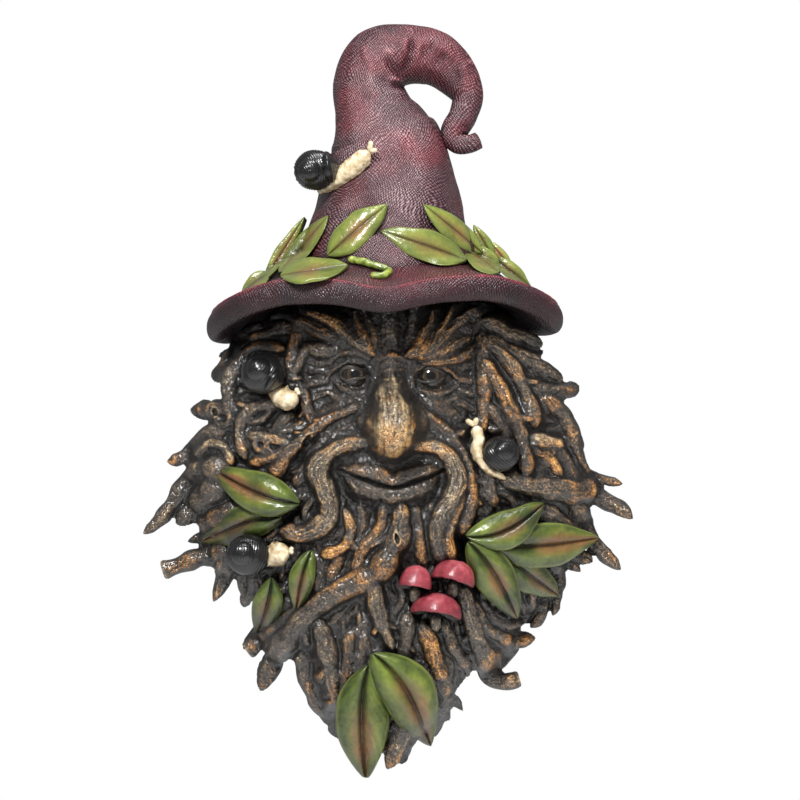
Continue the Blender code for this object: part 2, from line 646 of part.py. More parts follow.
def knot(index, centre, ring, wood):
    points = []
    for step in range(13):
        angle = 2.0 * math.pi * step / 12
        x = centre[0] + ring * math.cos(angle)
        z = centre[1] + ring * math.sin(angle)
        points.append((place(x, z, dome(x, z) + 4.0), wood))
    return tube(f"knot_{index}", points)


def all_forms():
    """Every form that the sculptor laid up, overlapping, before the cast."""
    forms = [core(), face_mask(), hat_cone(), brim(), nose(), tendril()]
    forms += [filler(index, *values) for index, values in enumerate(filler_routes())]
    forms += [root(name, *values) for name, values in ROOTS.items()]
    forms += [moustache(name, *values) for name, values in MOUSTACHES.items()]
    forms += [face_lump(name, *values) for name, values in FACE_LUMPS.items()]
    forms += [knot(index, *values) for index, values in enumerate(KNOTS)]
    for index, (x, z) in enumerate(EYES):
        forms.append(ball(f"eye_{index}", place(x, z, EYE_DEPTH), (EYE_RADIUS, EYE_RADIUS, EYE_RADIUS * 0.8)))
    for index, values in enumerate(ROOT_LEAVES):
        forms.append(root_leaf(index, *values))
    for index, (base, tip, width) in enumerate(HAT_LEAVES):
        forms.append(leaf(f"hat_leaf_{index}", base, tip, width, lambda x, z: hat_surface_depth(x, z) + 2.0))
    for index, values in enumerate(SNAILS):
        forms += snail(index, *values)
    for index, values in enumerate(MUSHROOMS):
        forms += mushroom(index, *values)
    return forms


def fused(name, forms):
    """The forms as one skin: joined, remeshed to one surface, and any inner pocket dropped."""
    shape = bmesh.new()
    for form in forms:
        form.data.transform(form.matrix_world)
        shape.from_mesh(form.data)
    for form in forms:
        bpy.data.objects.remove(form)
    obj = object_from(name, shape)
    skin = obj.modifiers.new("skin", "REMESH")
    skin.mode = "VOXEL"
    skin.voxel_size = VOXEL * UNIT
    graph = bpy.context.evaluated_depsgraph_get()
    mesh = bpy.data.meshes.new_from_object(obj.evaluated_get(graph))
    obj.modifiers.clear()
    obj.data = mesh
    keep_outer_skin(mesh)
    return obj


def keep_outer_skin(mesh):
    """Deletes every loose shell but the largest."""
    shape = bmesh.new()
    shape.from_mesh(mesh)
    shape.verts.ensure_lookup_table()
    seen = set()
    shells = []
    for vertex in shape.verts:
        if vertex.index in seen:
            continue
        shell = [vertex]
        seen.add(vertex.index)
        for member in shell:
            for edge in member.link_edges:
                other = edge.other_vert(member)
                if other.index not in seen:
                    seen.add(other.index)
                    shell.append(other)
        shells.append(shell)
    shells.sort(key=len)
    for shell in shells[:-1]:
        bmesh.ops.delete(shape, geom=shell, context="VERTS")
    shape.to_mesh(mesh)
    shape.free()


def cutter(name, centre, size):
    shape = bmesh.new()
    bmesh.ops.create_cube(shape, size=1.0, matrix=Matrix.Translation(centre) @ Matrix.Diagonal((*size, 1.0)))
    return helper(object_from(name, shape))


def helper(obj):
    obj.hide_render = True
    obj.display_type = "WIRE"
    for collection in list(obj.users_collection):
        collection.objects.unlink(obj)
    cutters.objects.link(obj)
    return obj


def cut(obj, tool):
    boolean = obj.modifiers.new(tool.name, "BOOLEAN")
    boolean.operation = "DIFFERENCE"
    boolean.object = tool


def recess_cutter():
    """The round blind hole in the back that takes the head of a wall screw."""
    shape = bmesh.new()
    bmesh.ops.create_cone(
        shape,
        cap_ends=True,
        segments=24,
        radius1=RECESS_DIAMETER / 2.0,
        radius2=RECESS_DIAMETER / 2.0,
        depth=2.0 * RECESS_DEPTH,
        matrix=Matrix.Translation((0.0, 0.0, RECESS_ABOVE_MOUNT)) @ Matrix.Rotation(math.pi / 2.0, 4, "X"),
    )
    return helper(object_from("screw_recess", shape))


def resin():
    material = bpy.data.materials.new("painted_resin")
    material.use_nodes = True
    shader = material.node_tree.nodes["Principled BSDF"]
    shader.inputs["Base Color"].default_value = RESIN_COLOUR
    shader.inputs["Roughness"].default_value = RESIN_ROUGHNESS
    shader.inputs["Metallic"].default_value = 0.0
    return material


for old in list(bpy.data.objects):
    bpy.data.objects.remove(old)
parts = bpy.data.collections.new("tree_face_plaque")
cutters = bpy.data.collections.new("cutters")
bpy.context.scene.collection.children.link(parts)
bpy.context.scene.collection.children.link(cutters)

tree_face = fused("tree_face", all_forms())
bpy.context.scene.collection.objects.unlink(tree_face)
parts.objects.link(tree_face)
tree_face.data.materials.clear()
tree_face.data.materials.append(resin())

facets = tree_face.modifiers.new("facets", "DECIMATE")
facets.ratio = TRIANGLE_BUDGET / (2.0 * len(tree_face.data.polygons))
cut(tree_face, cutter("wall", Vector((0.0, 0.5 * FIGURE_HEIGHT, 0.0)), (2.0 * FIGURE_HEIGHT, FIGURE_HEIGHT, 3.0 * FIGURE_HEIGHT)))
cut(tree_face, recess_cutter())
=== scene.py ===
"""The looks of the tree face plaque: every form in fine mesh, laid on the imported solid.

The frame is the part's: +Z up, the wall on Y = 0. Places are written as (x, z) in millimetres seen from the
front, depths in millimetres forward from the wall, and UNIT turns them into metres.
"""
import math
import random

import bmesh
import bpy
import numpy as np
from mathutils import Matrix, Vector


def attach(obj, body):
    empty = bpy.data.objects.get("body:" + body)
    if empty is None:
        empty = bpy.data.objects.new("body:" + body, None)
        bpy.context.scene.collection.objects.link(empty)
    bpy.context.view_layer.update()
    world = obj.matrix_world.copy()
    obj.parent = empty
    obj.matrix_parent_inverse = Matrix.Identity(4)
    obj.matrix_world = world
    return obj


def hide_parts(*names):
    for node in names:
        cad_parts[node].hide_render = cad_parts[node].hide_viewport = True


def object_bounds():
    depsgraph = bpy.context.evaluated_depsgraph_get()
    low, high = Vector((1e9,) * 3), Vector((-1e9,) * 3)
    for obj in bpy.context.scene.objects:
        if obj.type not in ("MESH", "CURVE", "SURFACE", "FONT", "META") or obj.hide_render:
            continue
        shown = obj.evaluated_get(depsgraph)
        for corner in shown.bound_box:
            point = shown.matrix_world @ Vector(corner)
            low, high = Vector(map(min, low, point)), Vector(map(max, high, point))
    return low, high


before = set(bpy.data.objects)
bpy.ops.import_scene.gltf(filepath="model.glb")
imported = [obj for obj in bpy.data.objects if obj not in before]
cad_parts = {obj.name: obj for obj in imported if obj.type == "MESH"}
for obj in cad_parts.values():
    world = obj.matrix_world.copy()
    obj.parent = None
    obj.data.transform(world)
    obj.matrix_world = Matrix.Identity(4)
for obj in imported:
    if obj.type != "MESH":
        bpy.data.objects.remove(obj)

CAD_BOX = [list(corner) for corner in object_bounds()]
UNIT = 0.001
LOW = np.array(CAD_BOX[0]) / UNIT + 0.05
HIGH = np.array(CAD_BOX[1]) / UNIT - 0.05

# The proportions of the solid that the fine mesh lies on
WIDEST_Z = -70.0
BOTTOM_Z = -222.0
TOP_OF_CORE_Z = 18.0
BEARD_LEAN = -5.0
CORE_HALF_WIDTH = 98.0
CROWN_DEPTH = 62.0
CHIN_DEPTH = 40.0
RIM_DEPTH = 14.0
CORE_INSET = 7.0
CORE_FOOT = 12.0
CORE_WIDTH_SHARE = 0.9
FACE_MIDDLE = (0.0, -32.0)
FACE_HALF = (43.0, 54.0)

# Thin roots between the others: how many, seed, shortest, longest, thinnest and thickest, and their sink. The
# first row lies under the relief as tubes, the second is in the relief over it, and the third fills it up
UNDER_ROOTS = (120, 11, 24.0, 55.0, 2.4, 3.6)
THIN_ROOTS = (120, 11, 24.0, 55.0, 2.6, 4.0)
HAIR_ROOTS = (130, 29, 22.0, 50.0, 1.5, 2.6)
THIN_SINK = -2.0
HAIR_SINK = 0.6
THIN_SEED = 400
ROUTE_STEP = 3.5

# Roots that bend one way or sway: start, end, bow to the left of travel, sway, radii, lift off the dome
ROOTS = {
    "brim_lock_left": ((-65, 1), (-90, -25), -3, -2.5, (3.5, 4.2), 2),
    "stub_behind_left": ((-76, -11), (-87, -13), 0, 0, (3.2, 3.4), -5),
    "arch_over_snail": ((-78, -21), (-54, -10), 7, 0, (2.6, 2.8), 2),
    "temple_ridge_left": ((-75, -14), (-81, -42), -2, 0, (3.8, 3.6), 2),
    "stump_left": ((-76, -39), (-101, -40), 1, 0, (4.0, 4.8), 0),
    "elbow_left": ((-54, -36), (-73, -64), -12, 0, (3.0, 3.2), 2),
    "finger_left": ((-84, -50), (-113, -66), 0.5, -2, (5.2, 3.4), 0),
    "hook_left": ((-97, -63), (-80, -67), 7.5, 0, (2.4, 2.8), 5),
    "curl_left": ((-71, -53), (-70, -66), 18, 0, (2.8, 3.4), 2),
    "cheek_left": ((-16, -38), (-60, -74), -5, 0, (2.4, 3.8), 3),
    "cheek_left_inner": ((-21, -45), (-48, -78), -3, 0, (2.2, 3.2), 0),
    "claw_left": ((-80, -69), (-125, -102), -6.5, -3.5, (7.0, 2.2), 2),
    "claw_lobe_left": ((-82, -75), (-108, -97), -1, 0, (8.0, 5.0), 1),
    "under_claw_left": ((-76, -88), (-94, -97), 0, 0, (5.5, 5.0), 0),
    "spur_left": ((-82, -101), (-103, -106), 0, 0, (5.0, 2.0), -4),
    "split_stub_left": ((-83, -110), (-114, -120), 0, 0, (6.4, 4.0), 2),
    "fang_left": ((-82, -112), (-90, -136), 0.5, 0, (6.4, 2.2), 1),
    "tip_left_mid": ((-66, -117), (-74.5, -138), 0, 0, (4.5, 2.4), -1),
    "under_snail_left": ((-75, -118), (-73, -135), 0, 0, (3.8, 2.8), 0),
    "under_snail_right": ((-65, -120), (-65, -136), 0, 0, (3.8, 3.2), 0),
    "beard_trunk": ((4, -87), (-11, -125), 4.5, 0, (4.6, 6.2), 7),
    "beard_long_branch": ((-8, -121), (-66, -180), -10, 0, (5.6, 5.6), 6),
    "beard_short_branch": ((-11, -122), (0, -158), -1, 0, (5.8, 2.0), 6),
    "beard_strand_left": ((-4, -86), (-17, -123), -1, 2, (3.0, 3.8), 3),
    "beard_strand_far_left": ((-16, -86), (-16, -106), 1, 0, (2.5, 2.6), 0),
    "orange_curl": ((-24, -89), (-35, -111), 9.5, 0, (2.2, 3.2), 4),
    "beard_lump_left": ((-27, -109), (-29, -133), 0, 0, (4.2, 4.6), 1),
    "beard_lump_far_left": ((-38, -112), (-35, -136), 0, 0, (3.6, 3.6), 1),
    "side_root_left": ((-43, -137), (-72, -160), 0, 0, (4.6, 4.0), 2),
    "side_root_lower": ((-52, -158), (-68, -172), 0, 0, (4.0, 3.6), -4),
    "side_nub_left": ((-62, -146), (-75, -160), 0, 0, (3.0, 2.4), -2),
    "tapered_left": ((-37, -145), (-27, -187), 1, 1, (5.6, 2.8), 5),
    "outer_low_left": ((-46, -160), (-29, -199), -2, 0, (4.4, 4.0), 1),
    "nub_low_left": ((-32, -197), (-27, -205), 0, 0, (3.0, 2.2), -4),
    "inner_low_left": ((-21, -150), (-25, -187), 0, 0, (4.2, 3.8), 1),
    "inner_low_mid": ((-14, -142), (-17, -172), 1, 0, (4.2, 3.4), -1),
    "behind_leaf_low": ((-24, -180), (-18, -207), 0, 0, (5.0, 4.0), 0),
    "beard_strand_right": ((11, -87), (16, -118), -1, 0, (2.7, 3.2), 2),
    "beard_strand_far_right": ((19, -86), (20, -116), 1, 0, (2.5, 2.8), 1),
    "moustache_strand": ((34, -72), (29, -114), -2, 2, (3.2, 3.4), 5),
    "cheek_right": ((10, -38), (34, -101), 15, 0, (2.6, 3.4), 3),
    "under_snail_cheek": ((47, -69), (50, -88), 0, 0, (3.2, 3.2), 1),
    "below_mushroom_left": ((8, -140), (4, -163), 0, 0, (3.6, 3.8), 3),
    "below_mushroom_mid": ((15, -145), (25, -173), -1.5, 0, (3.9, 4.2), 4),
    "below_mushroom_right": ((24, -143), (37, -167), -1, 0, (3.3, 3.6), 2),
    "beard_right_root": ((32, -126), (47, -167), 0, 1, (4.2, 5.2), 5),
    "foot_right": ((45, -162), (62, -175), -6, 0, (5.2, 4.2), 4),
    "rimmed_root": ((38, -134), (71, -154), -9, 0, (3.4, 4.4), 3),
    "rimmed_root_upper": ((42, -137), (65, -146), -4, 0, (3.0, 3.0), 0),
    "plate_right": ((62, -153), (51, -166), 0, 0, (4.5, 4.5), -6),
    "low_right": ((24, -160), (26, -186), 0, 0, (5.5, 4.4), -2),
    "low_right_outer": ((14, -178), (28, -195), 0, 0, (4.6, 3.2), -2),
    "low_right_tip": ((26, -180), (35, -191), 0, 0, (3.6, 1.6), -3),
    "low_right_tip_inner": ((26, -178), (21, -204), 0, 0, (4.0, 2.4), -3),
    "bottom_root": ((9, -180), (-3, -218), 2, 0, (6.0, 4.2), 2),
    "bottom_root_side": ((13, -186), (4, -215), 1, 0, (4.6, 3.0), 0),
    "plank_under_brim": ((44, 4), (74, -8), 0, 0, (3.6, 3.6), 3),
    "temple_right_upper": ((44, -5), (84, -26), 1, 0, (4.2, 3.6), 1),
    "knob_right": ((68, -27), (90.5, -29), -3, 0, (4.2, 3.6), 2),
    "temple_right": ((48, -8), (70, -48), 4.5, 0, (3.2, 4.2), 4),
    "temple_right_inner": ((45, -16), (66, -72), 4.5, 0, (3.0, 4.6), 5),
    "temple_right_short": ((47, -37), (57, -56), 1, 0, (3.4, 3.0), 1),
    "long_right": ((73, -33), (115, -77), -5, 5, (4.8, 2.0), 2),
    "long_right_body": ((74, -32), (92, -64), 3, 0, (5.5, 5.0), 0),
    "knuckle_right": ((67, -55), (84, -58), 1.5, 0, (3.4, 2.8), 4),
    "knuckle_right_lower": ((72, -58), (82, -75), 1, 0, (3.4, 3.4), 1),
    "knuckle_right_outer": ((80, -58), (90, -76), 1, 0, (3.6, 3.6), 0),
    "hand_right": ((55, -74), (99, -81), -1, 0, (5.4, 6.2), 4),
    "hand_finger_upper": ((95, -80), (120, -94.5), 1.5, 0, (6.4, 2.4), 3),
    "hand_finger_lower": ((89, -84), (114, -120), -2.5, 0, (6.6, 2.4), 2),
    "under_hand_right": ((70, -88), (92, -100), 0, 0, (5.4, 4.4), 0),
    "nub_right": ((82, -112), (100, -116), 1, 0, (4.0, 3.2), 1),
    "nub_right_lower": ((84, -113), (94, -121), 0, 0, (3.4, 2.2), 0),
    "fang_right": ((79, -115), (80, -143), 3, 0, (5.6, 2.2), 1),
    "rib_right": ((69, -129), (64, -147), 1.5, 0, (3.6, 3.2), 2),
    "rib_right_outer": ((76, -130), (69, -149), 2, 0, (3.4, 3.2), 1),
    "temple_left": ((-47, 6), (-49, -24), 0, 1, (4.4, 3.6), -1),
    "temple_left_upper": ((-50, 2), (-70, -6), 0, 0, (3.4, 3.2), 0),
    "temple_left_lower": ((-46, -28), (-38, -48), 0, 0, (3.6, 3.0), -1),
    "temple_right_edge": ((44, -2), (46, -36), 0, 0, (3.6, 3.6), 1),
    "crow_foot_right": ((46, -32), (43, -52), 0, 0, (3.4, 3.0), 0),
    "behind_leaf_right": ((57, -125), (66, -141), 0, 0, (3.6, 2.6), -3),
}

# The two moustache roots turn too often for a bow and a sway: their routes, radii and lift
MOUSTACHES = {
    "moustache_left": (
        [(-11, -55.5), (-27, -58.5), (-36, -68), (-35, -77), (-31, -87), (-34, -96), (-44, -101), (-55, -99)],
        (2.6, 4.6),
        8,
    ),
    "moustache_right": (
        [(9, -57), (23, -59.5), (32, -69), (31, -80), (25, -91), (22, -101), (24, -115)],
        (2.6, 4.4),
        8,
    ),
}

# Roots that end in a saw cut, and the rings that close one: share of the radius, push in radii, shade. The rim is
# painted lighter and the sunk middle darker, as painted shade in the hollow
SAWN_ROOTS = ("side_root_left", "split_stub_left", "foot_right", "plate_right")
CUT_END = [(0.9, 0.28, 0.25), (0.72, 0.36, 0.12), (0.55, 0.1, -0.2), (0.3, -0.35, -0.4), (0.06, -0.5, -0.5)]

# Holes in the wood: place, half width, half length, turn
PITS = [(-42.7, -55.5, 1.2, 3.0, -0.55), (-88.5, -41.0, 1.2, 1.6, 0.3), (2.0, -103.0, 0.9, 2.2, 0.2)]

# Narrow gaps between roots are closed by a web: its reach, and the share of cover round it that makes one
WEB_REACH = 2.6
WEB_SHARE = 0.58

# How deep the hollows between forms go, among the roots and on the face
GAP_DEPTH = 2.2
FACE_GAP_DEPTH = 0.7

# Fineness of the relief, and the window of the face in it: half width, top and foot
RELIEF_PITCH = 0.44
RELIEF_X = (-127.0, 124.0)
RELIEF_Z = (22.0, -224.0)
FACE_PITCH = 0.35
FACE_MARGIN = 15
FACE_WINDOW = (47.0, 22.0, -90.0)
WINDOW_OVERLAP = 1.0
SPLIT_X = -2.0

# The round recess in the back for the head of a wall screw, and the reach of the flat plate round it
RECESS_Z = 24.0
RECESS_RADIUS = 6.0
RECESS_DEEP = 10.0
PLATE_REACH = (42.0, 14.0)

# Rings of wood round a knot hole: centre, ring radius, wood radius
KNOTS = [((-84, -44), 3.4, 1.8), ((-65, -57), 3.0, 1.8), ((74, -59), 3.0, 1.6)]

# The eyes, and the openings between their lids: half width, height above and below the middle
EYES = [(-18.9, -22.4), (18.5, -23.2)]
EYE_OPENING = (6.3, 3.4, 2.6)
SOCKET = (11.0, 7.5)
SOCKET_DEPTH = 4.0
EYE_RADIUS = 8.0
EYE_DEPTH = 55.0

# The hat: the middle of its cone from the head to the curled tip, as (x, z, depth, radius)
HAT_LINE = [
    (-2, 22, 36, 44),
    (-2, 30, 36, 45.5),
    (-3, 38, 34, 43),
    (-2, 60, 31, 37.5),
    (-3, 88, 29, 31.0),
    (-5.5, 98, 28, 26.3),
    (-9.5, 110, 26, 20.0),
    (-11.5, 122, 24, 17.8),
    (-6.5, 134, 23, 17.6),
    (7, 138, 23, 15.2),
    (21, 136, 24, 13.8),
    (31, 128, 26, 11.6),
    (37.2, 117, 28, 8.4),
    (35.2, 107, 30, 7.4),
    (30.5, 98.5, 32, 7.2),
    (32.5, 93, 34, 5.8),
    (38, 92.5, 36, 4.8),
    (43.2, 94.6, 37, 4.4),
]
BRIM_CENTRE = (-4.0, 36.0)
BRIM_HALF_WIDTH = 88.5
BRIM_FORWARD = 68.0
BRIM_ROOT_Z = 27.0
BRIM_EDGE_Z = 25.0
BRIM_TILT = 2.0

# The brim's section: share of the way out to the edge, and height above the edge line. RIM_AT is the share of
# the section at which the piped rim lies
RIM_AT = 5.0 / 12.0
HAT_COLUMNS = 172
BRIM_SECTION = [
    (0.40, 15.0),
    (0.54, 9.5),
    (0.66, 5.6),
    (0.78, 3.0),
    (0.90, 1.2),
    (0.97, -0.5),
    (1.0, -4.0),
    (0.995, -9.0),
    (0.96, -12.5),
    (0.90, -12.0),
    (0.78, -9.5),
    (0.40, -9.0),
]

# Leaves lying on the roots: base, tip, width, lift off the dome
ROOT_LEAVES = [
    ((-46, -86), (-90, -69), 21, 8, 0.06),
    ((-55, -93), (-96, -106), 18, 5, -0.06),
    ((-60, -123), (-68, -153), 15, 5, 0.04),
    ((-40, -109), (-48, -140), 12.5, 6, -0.04),
    ((-12, -166), (-13.5, -224), 28, 6, -0.05),
    ((-10, -160), (19, -208), 28, 9, 0.08),
    ((36, -102), (75, -86), 19, 9, -0.12),
    ((48, -106), (103, -104), 23, 8, -0.04),
    ((57, -114), (83, -133), 17, 6, 0.0),
    ((37, -105), (62, -144), 21, 9, 0.05),
]

# Leaves round the foot of the crown: base, tip, width, lift off the cloth
HAT_LEAVES = [
    ((-32, 36), (-3, 61), 16.5, 5.0),
    ((-56, 28), (-32, 56), 11, 5.0),
    ((-64, 24), (-44, 56), 7, 5.0),
    ((-55, 26), (-22, 31), 13, 7.0),
    ((-61, 28), (-75, 18), 9, 5.0),
    ((36, 34), (-6, 48), 15.5, 5.0),
    ((44, 38), (15, 61), 12.5, 8.5),
    ((50, 35), (40, 52), 7, 7.0),
    ((58, 31), (48, 44), 6, 5.0),
    ((52, 28), (35, 42), 13.5, 7.0),
    ((50, 36), (68, 21), 9, 5.0),
]
TENDRIL = [(-22, 34), (-14, 32.5), (-6, 30), (-2, 28), (-5, 25.5), (-11, 26)]
TENDRIL_RADIUS = 1.9

# Mushroom caps: middle of the cap's foot, half width, height, lean in degrees; how far they stand off the
# dome, how far they tip forward in degrees, and how many gills they have
MUSHROOMS = [((11, -127), 8.3, 10.5, -8), ((29.5, -124.4), 10.9, 10.5, -14), ((21, -140.8), 12.3, 10.5, -8)]
CAP_FORWARD = 9.0
CAP_TIP = -10.0
GILLS = 26

# A cap's outline from the top over the edge to the gills: shares of its half width and height
CAP_PROFILE = [
    (0.02, 1.0),
    (0.32, 0.975),
    (0.64, 0.83),
    (0.88, 0.54),
    (0.99, 0.20),
    (1.0, 0.02),
    (0.97, -0.06),
    (0.85, -0.02),
    (0.5, 0.12),
    (0.2, 0.16),
]

# Snails: shell centre, shell radius, body from tail to head, depth of the shell's middle, half thickness
SNAILS = [
    ((-38.5, 78.5), 10.5, [(-37, 68), (-27, 74), (-18, 81.5), (-11.5, 87.5)], 47, 8),
    ((-64, -21.8), 10.8, [(-61, -30), (-56, -33), (-51, -34), (-47.5, -31.5)], 55, 8),
    ((53, -61.5), 9.3, [(56, -74), (47, -69), (42, -61), (42.3, -54), (40.2, -47.5)], 61, 7),
    ((-71.5, -111.5), 10.8, [(-65, -116), (-60, -112.5), (-55, -110.5), (-51, -109.5)], 47, 8),
]

# For each snail: where its shell's last turn ends and its radius there, which way the mouth points in radians,
# how fat the body is, and how long its stalks are
SHELL_LOBES = [(-28.0, 80.5, 6.6), (-56.5, -26.5, 7.6), (48.5, -64.5, 5.4), (-65.0, -113.0, 6.6)]
SHELL_MOUTHS = [0.2, -0.75, -2.4, -0.3]
BODY_SHARES = [1.15, 1.45, 0.8, 1.5]
STALK_SHARES = [1.0, 0.5, 1.0, 0.5]
SNAIL_BODY_RADIUS = 3.2

